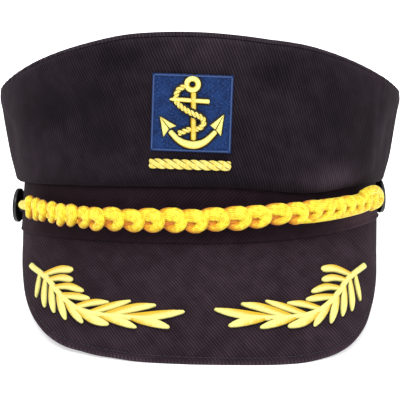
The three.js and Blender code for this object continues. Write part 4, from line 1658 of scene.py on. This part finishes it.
@dataclass
class SideButton(Piece):
    """A side button: a domed head on a short shank."""

    side: int = field(kw_only=True)
    height: float = field(kw_only=True)
    foot: float = field(kw_only=True)
    radius: float = 8.4
    stand_off: float = 1.9
    head: float = 2.0
    shank: float = 3.0
    back: float = 11.0
    nod: float = 3.0
    vertices: int = 56
    rim: float = 0.9
    sunk: float = 0.55
    step: float = 0.7
    # How far each ring of the dome lies inside the last one, and how much it rises.
    dome: Pairs = ((0.5, 0.55), (1.6, 0.35), (2.2, 0.15))
    soft_edge: float = 0.35
    bevel_angle: float = 35.0
    smooth_angle: float = 40.0

    def build(self) -> Object:
        """Returns the button, turned out of one disc."""
        deselect()
        bpy.ops.mesh.primitive_cylinder_add(
            vertices=self.vertices, radius=self.radius * MM, depth=self.head * MM
        )
        piece = bpy.context.object
        bpy.ops.object.mode_set(mode="EDIT")
        bpy.ops.mesh.select_mode(type="FACE")
        self.select_cap(piece, 1)
        bpy.ops.mesh.inset(thickness=self.rim * MM)
        bpy.ops.transform.translate(value=(0, 0, -self.sunk * MM))
        bpy.ops.mesh.inset(thickness=self.step * MM)
        for inset, rise in self.dome:
            bpy.ops.transform.translate(value=(0, 0, rise * MM))
            bpy.ops.mesh.inset(thickness=inset * MM)
        self.select_cap(piece, -1)
        bpy.ops.mesh.inset(thickness=(self.radius - self.shank) * MM)
        down = {"value": (0, 0, -self.stand_off * MM)}
        bpy.ops.mesh.extrude_region_move(TRANSFORM_OT_translate=down)
        bpy.ops.object.mode_set(mode="OBJECT")
        bevel = piece.modifiers.new("soft_edges", "BEVEL")
        bevel.width = self.soft_edge * MM
        bevel.segments = 3
        bevel.limit_method = "ANGLE"
        bevel.angle_limit = math.radians(self.bevel_angle)
        bpy.ops.object.modifier_apply(modifier=bevel.name)
        self.seat(piece)
        bpy.ops.object.shade_smooth_by_angle(angle=math.radians(self.smooth_angle))
        return piece

    @staticmethod
    def select_cap(piece: Object, way: int) -> None:
        """Selects the outermost flat face of the disc, above (1) or below (-1)."""
        bpy.ops.object.mode_set(mode="OBJECT")
        mesh = piece.data
        facing = [face for face in mesh.polygons if face.normal.z * way > 0.9]
        cap = max((round(face.center.z * way, 6), face.area, face.index) for face in facing)[2]
        for face in mesh.polygons:
            face.select = face.index == cap
        bpy.ops.object.mode_set(mode="EDIT")

    def seat(self, piece: Object) -> None:
        """Turns the button to its side of the hat and puts its foot on the band."""
        middle = self.foot + self.stand_off + self.head / 2
        nod = math.radians(self.nod)
        piece.data.transform(Matrix.Rotation(self.side * (math.pi / 2 - nod), 4, "Y"))
        piece.data.transform(Matrix.Rotation(self.side * math.radians(self.back), 4, "Z"))
        piece.data.transform(Matrix.Rotation(-math.radians(self.form.tilt), 4, "X"))
        place = np.array([self.side * (self.form.half_width + middle), 0.0, self.height])
        piece.data.transform(Matrix.Translation(Vector(self.form.world(place))))


@dataclass(frozen=True)
class BadgeFrame:
    """The badge's own frame on the crown: a to the right and b upwards from its middle."""

    crown: CrownShape
    x: float = -3.6
    height: float = 58.7
    turn: float = 2.0
    width: float = 35.5
    tall: float = 34.5
    thickness: float = 1.1
    gap: float = 0.3
    rounds: int = 5

    def place(self, a: Array, b: Array) -> Array:
        """Returns places on the crown, without the small creases."""
        lean = math.radians(self.turn)
        x = self.x + a * math.cos(lean) + b * math.sin(lean)
        height = self.height - a * math.sin(lean) + b * math.cos(lean)
        turn = np.degrees(np.arcsin(x / self.crown.form.half_width))
        rise = np.zeros(np.shape(turn))
        for _ in range(self.rounds):
            foot = self.crown.foot(turn)
            rise = (height - foot) / (self.crown.seam_height(turn) - foot)
            out = self.crown.wall_out(turn, rise, soft=False)
            turn = np.degrees(np.arcsin(x / (self.crown.form.half_width + out)))
        return self.crown.wall(turn, rise, soft=False)

    def chart(self, a: Array, b: Array) -> tuple[Array, Array]:
        """Returns places on the crown and the outward directions there."""
        right = self.place(a + 1, b) - self.place(a - 1, b)
        up = self.place(a, b + 1) - self.place(a, b - 1)
        return self.place(a, b), unit(np.cross(right, up))


Chart = Callable[[Array, Array], tuple[Array, Array]]


@dataclass(frozen=True)
class Tone:
    """The painted shade of a strap of thread, 0 for pale to 1 for deep, the same all over."""

    depth: float = 0.25

    def at(self, along: Array, across: Array) -> Array:
        """Reads the shade.

        Args:
            along: The share of the way along the strap.
            across: The way across it, from -1 to 1.

        Returns:
            The shade at each point.
        """
        return np.full(across.shape, self.depth)


@dataclass(frozen=True)
class EdgeTone(Tone):
    """A painted shade that is deeper towards one side of the strap."""

    side: float = 0.55
    spill: float = 0.2

    def at(self, along: Array, across: Array) -> Array:
        """Returns the shade at each point."""
        return self.depth + self.side * np.clip(-across, -self.spill, 1) ** 2


@dataclass(frozen=True)
class LeafTone(Tone):
    """A leaf's painted shade, deeper towards its foot and towards one side, outer, of -1 or 1."""

    outer: int = 1
    middle: float = 0.42
    slope: float = 0.5
    fade: float = 1.2

    def at(self, along: Array, across: Array) -> Array:
        """Returns the shade at each point."""
        return self.depth * (self.middle + self.slope * self.outer * across) * (self.fade - along)


def strap(
    chart: Chart,
    places: Line,
    widths: Curve,
    base: float,
    ridge: float,
    ends: Pair,
    steps: int,
    tone: Tone = Tone(),
    outline: float = 0.8,
) -> Grid:
    """Lays a raised, satin-stitched strap on a surface.

    Args:
        chart: Gives a place on the surface and its outward direction.
        places: The strap's line in the chart's coordinates.
        widths: Half its width at each share of its length.
        base: How high above the surface it starts.
        ridge: Its height.
        ends: The length over which each end is rounded.
        steps: How many steps it has along its line.
        tone: Its painted shade.
        outline: How wide the dark skirt along its sides is.

    Returns:
        The strap's sheet, with marks across, inset and tone.
    """
    line = smooth_path(places, steps)
    path, normals = chart(line[:, 0], line[:, 1])
    share = np.linspace(0, 1, steps)
    full = rounded(path, *ends)
    path = path + normals * (base + STRAP_LIFT)
    half = widths(share) * full
    grid = sweep(path, normals, half, ridge * full, sides=SATIN_SIDES, outline=outline)
    across = grid.marks["across"]
    shares = np.broadcast_to(share[:, None], across.shape)
    grid.marks["tone"] = tone.at(shares, across)
    return grid


@dataclass
class Badge(Piece):
    """The badge: a stitched cloth square that follows the crown, with a raised border."""

    frame: BadgeFrame = field(kw_only=True)
    border: float = 0.36
    border_inset: float = 0.75
    border_ridge: float = 0.5
    border_sunk: float = 0.15
    border_outline: float = 0.2
    columns: int = 60
    # How far in from the side each level is, and its share of the thickness.
    levels: Pairs = ((0.0, 0.0), (0.0, 0.75), (0.35, 1.0))

    def build(self) -> Object:
        """Returns the cloth square."""
        frame = self.frame
        share = np.linspace(-0.5, 0.5, self.columns)
        a, b = np.meshgrid(frame.width * share, frame.tall * share)
        levels = []
        for inset, up in self.levels:
            scale = 1 - 2 * inset / frame.width
            place, out = frame.chart(a * scale, b * scale)
            levels.append(place + out * (frame.gap + frame.thickness * up))
        ring = self.outline_index()
        weave = np.stack([a, b], axis=-1)
        walls = Grid(np.stack([level[ring] for level in levels]), np.stack([weave[ring]] * len(levels)))
        sides = bend_grid("badge_sides", walls, self.form)
        face = bend_grid("badge_face", Grid(levels[-1], weave), self.form)
        back = bend_grid("badge_back", Grid(levels[0], weave), self.form)
        whole = join(self.name, [face, sides, back])
        close_up()
        return whole

    def outline_index(self) -> tuple[Array, Array]:
        """Returns the rows and columns of the square's outline, in order and closed."""
        last = self.columns - 1
        steps = np.arange(last)
        rows = np.concatenate([0 * steps, steps, last + 0 * steps, last - steps, [0]])
        columns = np.concatenate([steps, last + 0 * steps, last - steps, 0 * steps, [0]])
        return rows, columns

    def build_border(self) -> Object:
        """Returns the raised border."""
        frame = self.frame
        half_a = frame.width / 2 - self.border_inset
        half_b = frame.tall / 2 - self.border_inset
        corners = [(-half_a, -half_b), (half_a, -half_b), (half_a, half_b), (-half_a, half_b)]
        even = Curve(((0.0, self.border), (1.0, self.border)))
        base = frame.gap + frame.thickness - self.border_sunk
        sides = []
        for i, (start, end) in enumerate(zip(corners, corners[1:] + corners[:1])):
            grid = strap(
                frame.chart, [start, end], even, base, self.border_ridge,
                ends=(0.5, 0.5), steps=60, outline=self.border_outline,
            )
            sides.append(bend_grid(f"border_{i}", grid, self.form))
        return join(f"{self.name}_border", sides)


def fill(
    chart: Chart,
    first: Line,
    second: Line,
    base: float,
    ridge: float,
) -> Grid:
    """Fills the shape between two edges with raised satin stitch.

    Args:
        chart: Gives a place on the surface and its outward direction.
        first: One edge in the chart's coordinates.
        second: The other edge, from the same start.
        base: How high above the surface it starts.
        ridge: Its height.

    Returns:
        The shape's sheet, with marks inset and tone.
    """
    one, two = smooth_path(first, FILL_STEPS), smooth_path(second, FILL_STEPS)
    over, height, skirt = section(Profile.PILLOW, SATIN_SIDES)
    middle, half = 0.5 * (one + two), 0.5 * (two - one)
    width = np.linalg.norm(half, axis=1)[:, None]
    aside = unit(half + 1e-9)
    places = middle[:, None] + half[:, None] * over[:, None]
    places = places + aside[:, None] * (FILL_OUTLINE * skirt)[:, None]
    full = np.minimum(1, width / ridge) * rounded(middle, 0.5, 0.5)[:, None]
    points, normals = chart(places[..., 0], places[..., 1])
    points = points + normals * (base + STRAP_LIFT + ridge * full * height)[..., None]
    inset = width * (1 - np.abs(over)) - FILL_OUTLINE * np.abs(skirt)
    return Grid(points, places, {"inset": inset, "tone": Tone().at(inset, inset)})


@dataclass
class Anchor(Piece):
    """The anchor, embroidered in satin stitch, with a twisted rope round its shank.

    Its places are those of the badge's frame, to the right and upwards from the badge's middle.
    """

    frame: BadgeFrame = field(kw_only=True)
    base: float = 1.5
    ridge: float = 1.2
    # The ring's middle, its radius and half its width.
    ring: Row = (-0.1, 12.8, 2.45, 1.2)
    shank: Pairs = ((0.45, 9.6), (1.15, -12.0))
    shank_half: float = 1.15
    stock: Pairs = ((-9.9, 6.0), (7.7, 5.4))
    stock_half: Curve = Curve(((0, 0.2), (0.06, 0.65), (0.13, 0.95), (0.8, 0.95), (1, 1)))
    arms: Pairs = (
        (-9.4, -8), (-5.6, -11.7), (-2.4, -13.4), (1.2, -14), (4.6, -13.2), (7.4, -11.3), (10.9, -7.5),
    )
    arms_half: Curve = Curve(((0, 1.05), (0.25, 1.35), (0.5, 1.75), (0.75, 1.35), (1, 1.05)))
    # An arrowhead's tip, its inner barb, its outer barb and its heel.
    flukes: tuple[Pairs, ...] = (
        ((-13.8, -1.8), (-6.5, -5.8), (-11.9, -10.8), (-9.5, -7.1)),
        ((14.1, 0), (8.2, -5.1), (13, -9.6), (10.6, -7)),
    )
    slit: float = 0.2
    tip_share: float = 0.3
    # The rope's place, and how much further out it lies there.
    rope: tuple[Place, ...] = (
        (-2.6, 12.2, 0.3), (-4, 11.6, 0.5), (-5.9, 10.3, 0.5), (-6.9, 7.8, 0.3), (-6.9, 5.8, 0),
        (-6, 4.1, 0.4), (-3.5, 2.2, 1), (-0.5, 0.6, 1.9), (2.4, -0.6, 1.7), (4.7, -2, 0.8),
        (5.3, -4.2, 0.5), (3.6, -6.4, 0.3), (1, -7, -0.6), (-1.4, -7.3, 0.1), (-3.8, -8.4, 0.4),
        (-5.6, -9, 0.3),
    )
    strand: float = 0.76
    strand_offset: float = 0.58
    rope_pitch: float = 4.0
    rope_lift: float = 0.55
    rope_flat: float = 0.75
    rope_steps: int = 320
    margin: float = 0.65
    shadow_lift: float = 0.1
    shadow_rise: float = 0.3

    def raised(
        self,
        places: Line,
        widths: Curve | float,
        extra: float = 0.0,
        tone: float = 0.2,
        ends: Pair = (0.5, 0.5),
    ) -> Object:
        """Gives one raised stroke of the anchor.

        Args:
            places: Its line on the badge.
            widths: Half its width, at each share of its length or all along.
            extra: How much higher than the other strokes it is.
            tone: How deep its painted shade is, from 0 to 1.
            ends: The length over which each end is rounded.

        Returns:
            The stroke.
        """
        half = widths if isinstance(widths, Curve) else Curve(((0, widths), (1, widths)))
        grid = strap(
            self.frame.chart, places, half, self.base, self.ridge + extra,
            ends=ends, steps=52, tone=EdgeTone(tone),
        )
        return bend_grid("stroke", grid, self.form)

    def fluke(self, tip: Array, barb: Array, heel: Array) -> Object:
        """Returns half of an arrowhead, from its tip to the heel on one side."""
        tip, barb, heel = (np.array(place) for place in (tip, barb, heel))
        aside = unit(barb - heel) * self.slit
        inner = [tip + self.tip_share * aside, heel + aside]
        grid = fill(self.frame.chart, [tip, barb], inner, self.base, self.ridge)
        return bend_grid("fluke", grid, self.form)

    def rope_strands(self) -> list[Object]:
        """Returns the two strands of the rope, twisted round each other, on a dark strip of painted
        shadow.
        """
        line = smooth_path(self.rope, self.rope_steps)
        path, normals = self.frame.chart(line[:, 0], line[:, 1])
        path = path + normals * line[:, 2:]
        strands = twisted(
            self.form, path, normals, 2, self.rope_pitch, self.strand_offset, self.strand,
            lift=self.base + self.rope_lift, flat=self.rope_flat,
        )
        # The dark strip under the rope is its painted shadow.
        half = np.full(len(path), self.strand_offset + self.strand + self.margin)
        foot = path + normals * (self.base + self.shadow_lift)
        ground = sweep(foot, normals, half, self.shadow_rise * half, sides=6)
        ground.marks["inset"] = np.full(ground.points.shape[:2], -1.0)
        ground.marks["tone"] = np.zeros(ground.points.shape[:2])
        return [*strands, bend_grid("ground", ground, self.form)]

    def build(self) -> Object:
        """Returns the anchor as one embroidered piece."""
        a, b, radius, half = self.ring
        around = np.radians(np.linspace(0, 360, 49))
        ring = np.stack([a + radius * np.sin(around), b + radius * np.cos(around)], axis=-1)
        pieces = [
            self.raised(self.stock, self.stock_half, extra=0.1),
            # The shank's deeper tone is painted shade.
            self.raised(self.shank, self.shank_half, extra=0.4, tone=0.5),
            self.raised(ring, half, extra=0.3, ends=(0.0, 0.0)),
            self.raised(self.arms, self.arms_half, extra=0.2),
        ]
        for tip, inner, outer, heel in self.flukes:
            pieces.append(self.fluke(tip, inner, heel))
            pieces.append(self.fluke(tip, outer, heel))
        pieces += self.rope_strands()
        return join(self.name, pieces)


def twisted(
    form: HatForm,
    path: Array,
    normals: Array,
    count: int,
    pitch: float,
    offset: float,
    radius: float,
    lift: float,
    flat: float,
) -> list[Object]:
    """Twists strands round a path on a surface.

    Args:
        form: Gives the world place.
        path: The path on the surface.
        normals: The way out at each step.
        count: How many strands there are.
        pitch: The length of one turn of a strand.
        offset: How far each strand's middle lies from the path.
        radius: Each strand's radius.
        lift: How high the rope's middle lies above the path.
        flat: The rope's depth as a share of its width.

    Returns:
        An object for each strand.
    """
    length = lengths_along(path)
    along = unit(np.gradient(path, axis=0))
    side = unit(np.cross(normals, along))
    strands = []
    for i in range(count):
        phase = math.tau * (length / pitch + i / count)
        middle = path + normals * lift
        middle = middle + side * (offset * np.cos(phase))[:, None]
        middle = middle + normals * (flat * offset * np.sin(phase))[:, None]
        size = radius * rounded(path, radius, radius)
        grid = sweep(middle, normals, size, flat * size, Profile.ROUND, STRAND_SIDES)
        # Painted shade on the strands, darkest at their sides where they meet.
        grid.marks["tone"] = np.full(grid.marks["inset"].shape, ROPE_PAINTED_SHADE)
        grid.marks["inset"] = grid.marks["inset"] - ROPE_CREVICE_SHADE * radius
        strands.append(bend_grid("strand", grid, form))
    return strands


@dataclass
class RopeBar(Piece):
    """A short embroidered rope under the badge."""

    frame: BadgeFrame = field(kw_only=True)
    length: float = 36.0
    below: float = 22.8
    pitch: float = 12.0
    offset: float = 1.2
    radius: float = 1.3
    lift: float = 1.2
    flat: float = 0.42
    steps: int = 240

    def build(self) -> Object:
        """Returns the rope of three strands."""
        a = np.linspace(-0.5, 0.5, self.steps) * self.length
        path, normals = self.frame.chart(a, np.full(a.shape, -self.below))
        strands = twisted(
            self.form, path, normals, 3, self.pitch, self.offset, self.radius, self.lift, self.flat
        )
        return join(self.name, strands)


@dataclass(frozen=True)
class Leaf:
    """A leaf: the turn at its foot, its middle and its tip on the peak, and half its width.

    A place on the peak is a turn and the share of the way from the band to the edge.
    """

    foot: float
    middle: Pair
    tip: Pair
    half: float
    blunt: float


@dataclass
class Sprig(Piece):
    """An embroidered sprig on the peak, given for the left one."""

    shape: PeakShape = field(kw_only=True)
    side: int = field(kw_only=True)
    base: float = 0.35
    ridge: float = 1.15
    outline: float = 0.42
    right_share: float = 0.93
    right_rise: float = 0.022
    # How deep the painted shade of the upper and the lower leaves is.
    upper_shade: float = 1.6
    lower_shade: float = 0.8
    stem_extra: float = 0.2
    # A turn, and the share of the way from the band to the edge where the stem lies there.
    stem: Curve = Curve((
        (-53.6, 0.582), (-44.7, 0.556), (-41.8, 0.556), (-36.2, 0.602), (-31.6, 0.646),
        (-28, 0.680), (-24, 0.696), (-19, 0.689), (-9.5, 0.668),
    ))
    stem_half: Curve = Curve(((0, 1.35), (0.5, 1.2), (1, 0.8)))
    # A share of a leaf's length, and the share of its width there.
    sharp_form: Curve = Curve((
        (0, 0.62), (0.3, 0.95), (0.52, 1), (0.75, 0.8), (0.92, 0.42), (1, 0.2),
    ))
    blunt_form: Curve = Curve((
        (0, 0.55), (0.25, 0.85), (0.6, 1), (0.85, 0.9), (0.95, 0.68), (1, 0.45),
    ))
    upper: tuple[Leaf, ...] = (
        Leaf(-44, (-38.8, 0.408), (-33.8, 0.363), 2, 1),
        Leaf(-40.6, (-36.3, 0.475), (-32.1, 0.456), 1.75, 0.9),
        Leaf(-37, (-32.4, 0.523), (-27.5, 0.525), 1.75, 0.6),
        Leaf(-33.6, (-29.3, 0.588), (-25.2, 0.578), 1.75, 0.6),
        Leaf(-28.2, (-24.2, 0.606), (-20.3, 0.579), 1.7, 0.1),
        Leaf(-24.2, (-19.6, 0.607), (-15.4, 0.545), 1.75, 0.1),
        Leaf(-20.6, (-14.4, 0.599), (-9.6, 0.563), 2.15, 0.1),
        Leaf(-16, (-9.4, 0.646), (-3.2, 0.606), 2.2, 0.1),
    )
    lower: tuple[Leaf, ...] = (
        Leaf(-45.8, (-43.6, 0.704), (-41.8, 0.811), 1.25, 0.3),
        Leaf(-42.2, (-39.4, 0.71), (-36.7, 0.815), 1.55, 0.4),
        Leaf(-38.6, (-35.6, 0.706), (-32.9, 0.8), 1.65, 0.4),
        Leaf(-34.6, (-31.3, 0.728), (-29, 0.807), 1.8, 0.3),
        Leaf(-31, (-27.3, 0.73), (-24.8, 0.792), 1.85, 0.3),
        Leaf(-27.4, (-22.9, 0.738), (-19, 0.762), 2.15, 0.3),
        Leaf(-21.4, (-16.8, 0.722), (-13, 0.757), 1.95, 0.2),
        Leaf(-14.6, (-9.9, 0.705), (-6.2, 0.74), 2.1, 0.2),
    )

    def chart(self, turn: Array, across: Array) -> tuple[Array, Array]:
        """Returns places on the peak for this side's sprig."""
        if self.side < 0:
            return self.shape.chart(turn, across)
        return self.shape.chart(-turn * self.right_share, across - self.right_rise)

    def leaf(self, leaf: Leaf, is_upper: bool) -> Object:
        """Returns one leaf, with its painted shade deeper near its foot and on one side."""
        foot = (leaf.foot, float(self.stem(np.array(leaf.foot))))
        share = np.linspace(0, 1, 21)
        half = leaf.half * lerp(self.sharp_form(share), self.blunt_form(share), leaf.blunt)
        outer = -self.side if is_upper else self.side
        depth = self.upper_shade if is_upper else self.lower_shade
        grid = strap(
            self.chart, [foot, leaf.middle, leaf.tip], Curve(tuple(zip(share, half))),
            self.base, self.ridge, ends=(0.3, 0.5 + 0.5 * leaf.blunt), steps=44,
            tone=LeafTone(depth, outer), outline=self.outline,
        )
        return bend_grid("leaf", grid, self.form)

    def build(self) -> Object:
        """Returns the sprig as one embroidered piece."""
        turns = np.linspace(self.stem.rows[0][0], self.stem.rows[-1][0], 14)
        line = np.stack([turns, self.stem(turns)], axis=-1)
        stem = strap(
            self.chart, line, self.stem_half, self.base + self.stem_extra, self.ridge,
            ends=(1.0, 0.8), steps=80, tone=Tone(0.1), outline=self.outline,
        )
        pieces = [bend_grid("stem", stem, self.form)]
        pieces += [self.leaf(leaf, True) for leaf in self.upper]
        pieces += [self.leaf(leaf, False) for leaf in self.lower]
        return join(self.name, pieces)


@dataclass
class Studio:
    """A pale floor, soft studio light and a camera at the photograph's angle."""

    form: HatForm
    aim_height: float = 15.9
    distance: float = 1000.0
    elevation: float = 2.3
    frame_width: float = 198.4
    sensor: float = 36.0
    floor_size: float = 12.0
    floor_glow: float = 0.56
    sky: float = 0.75
    middle: Place = (0.0, 0.0, 0.07)
    # A light's name, its place and its side in metres, and its power in watts.
    lights: tuple[tuple[str, Place, float, float], ...] = (
        ("key", (-0.25, -1.3, 1.7), 1.1, 28.0),
        ("fill", (1.2, -0.9, 0.9), 1.2, 6.0),
        ("top", (0.0, 0.4, 1.9), 1.4, 18.0),
    )

    def camera(self) -> None:
        """Adds the camera, which looks at the hat from in front of it."""
        data = bpy.data.cameras.new("camera")
        data.sensor_width = self.sensor
        data.lens = self.sensor * self.distance / self.frame_width
        camera = bpy.data.objects.new("camera", data)
        bpy.context.scene.collection.objects.link(camera)
        angle = math.radians(self.elevation)
        level = self.aim_height + self.distance * math.sin(angle)
        eye = Vector(self.form.world(np.array([0.0, -self.distance * math.cos(angle), level])))
        aim = Vector(self.form.world(np.array([0.0, 0.0, self.aim_height])))
        camera.location = eye
        camera.rotation_euler = (aim - eye).to_track_quat("-Z", "Y").to_euler()
        bpy.context.scene.camera = camera

    def floor(self) -> None:
        """Adds the floor."""
        deselect()
        bpy.ops.mesh.primitive_plane_add(size=self.floor_size)
        floor = bpy.context.object
        floor.name = "floor"
        shader = Shader("pale_floor")
        speck = shader.noise(shader.place(), 60.0)
        tone = shader.mix(speck, (0.90, 0.90, 0.90), (0.93, 0.93, 0.93))
        shader.set(Base_Color=tone, Roughness=0.9, Specular_IOR_Level=0.1)
        shader.set(Emission_Color=(1.0, 1.0, 1.0), Emission_Strength=self.floor_glow)
        floor.data.materials.append(shader.material)
        floor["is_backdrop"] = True

    def light(self, name: str, place: Place, size: float, power: float) -> None:
        """Adds a square soft light, which points at the middle of the hat.

        Args:
            name: The light's name.
            place: Where it stands, in metres.
            size: Its side in metres.
            power: Its strength in watts.
        """
        data = bpy.data.lights.new(name, "AREA")
        data.size = size
        data.energy = power
        light = bpy.data.objects.new(name, data)
        bpy.context.scene.collection.objects.link(light)
        light.location = place
        aim = Vector(self.middle) - Vector(place)
        light.rotation_euler = aim.to_track_quat("-Z", "Y").to_euler()

    def build(self) -> None:
        """Sets the stage."""
        self.camera()
        self.floor()
        for name, place, size, power in self.lights:
            self.light(name, place, size, power)
        world = bpy.data.worlds.new("studio")
        bpy.context.scene.world = world
        world.use_nodes = True
        background = world.node_tree.nodes["Background"]
        background.inputs["Color"].default_value = (1.0, 1.0, 1.0, 1.0)
        background.inputs["Strength"].default_value = self.sky
        bpy.context.scene.view_settings.view_transform = "Standard"


CROWN_TWILL = Twill("crown_twill", colour(10, 7, 11), colour(38, 30, 37), colour(72, 62, 71), -68.0)
BAND_TWILL = Twill("band_twill", colour(18, 10, 15), colour(39, 27, 33), colour(74, 56, 64), 45.0)
# The peak's twill is a paler copy of the same cloth: painted light, as the peak faces up.
LIT_PEAK_TWILL = Twill("peak_twill", colour(17, 10, 15), colour(54, 41, 49), colour(94, 78, 88), -52.0, 1.2)
# The gold's light and shade colours are painted light and shade, chosen by the tone mark.
GOLD_THREAD = SatinThread(
    "gold_thread", colour(222, 213, 126), colour(212, 194, 86), colour(204, 163, 32), colour(12, 7, 4),
)
BORDER_THREAD = SatinThread(
    "border_thread", colour(48, 72, 120), colour(30, 50, 96), colour(22, 38, 80), colour(8, 16, 42),
)
DARK_THREAD = SewingThread("dark_thread", colour(34, 27, 32))


def main() -> None:
    """Builds the hat piece by piece and sets the stage."""
    logging.basicConfig(level=logging.INFO, format="%(message)s")
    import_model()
    cad_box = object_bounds()
    form = HatForm().on_frame()
    crown = CrownShape(form)
    peak = PeakShape(form)
    badge_frame = BadgeFrame(crown)
    twill = CROWN_TWILL.material()
    gold = GOLD_THREAD.material()

    wall = CrownWall(form, "crown_wall_cloth", "crown_twill", ("crown_wall",), shape=crown)
    wall.settle(wall.build(), twill)
    top = CrownTop(form, "crown_top_cloth", "crown_twill", ("crown_top",), shape=crown)
    top.settle(top.build(), twill)
    band = Band(form, "band_cloth", "band_twill", ("band",))
    band.settle(band.build(), BAND_TWILL.material())
    tongue = Peak(form, "peak_cloth", "peak_twill", ("peak",), shape=peak)
    tongue.settle(tongue.build(), LIT_PEAK_TWILL.material())
    seam = Piece(form, "peak_stitches", "peak_twill")
    seam.settle(tongue.stitches(), DARK_THREAD.material())

    braid = Braid(form, "braid_cord", "braid_cord", ("braid",))
    braid.settle(braid.build(), Cord("braid_cord").material())
    plastic = Plastic("button_plastic").material()
    for side, height, foot, node in ((-1, 13.4, -1.0, "button_left"), (1, 18.0, -1.9, "button_right")):
        button = SideButton(
            form, f"{node}_domed", "button_plastic", (node,), side=side, height=height, foot=foot
        )
        button.settle(button.build(), plastic)

    badge = Badge(form, "badge_ground", "badge_cloth", ("badge",), frame=badge_frame)
    badge.settle(badge.build(), BadgeCloth("badge_cloth").material())
    border = Piece(form, "badge_border", "badge_cloth")
    border.settle(badge.build_border(), BORDER_THREAD.material())
    anchor = Anchor(form, "anchor_stitched", "gold_thread", ("anchor",), frame=badge_frame)
    anchor.settle(anchor.build(), gold)
    bar = RopeBar(form, "rope_bar_stitched", "gold_thread", ("rope_bar",), frame=badge_frame)
    bar.settle(bar.build(), gold)
    for side, node in ((-1, "sprig_left"), (1, "sprig_right")):
        sprig = Sprig(form, f"{node}_stitched", "gold_thread", (node,), shape=peak, side=side)
        sprig.settle(sprig.build(), gold)

    Studio(form).build()
    [[list(corner) for corner in box] for box in (cad_box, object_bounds())]


if __name__ == "__main__":
    main()
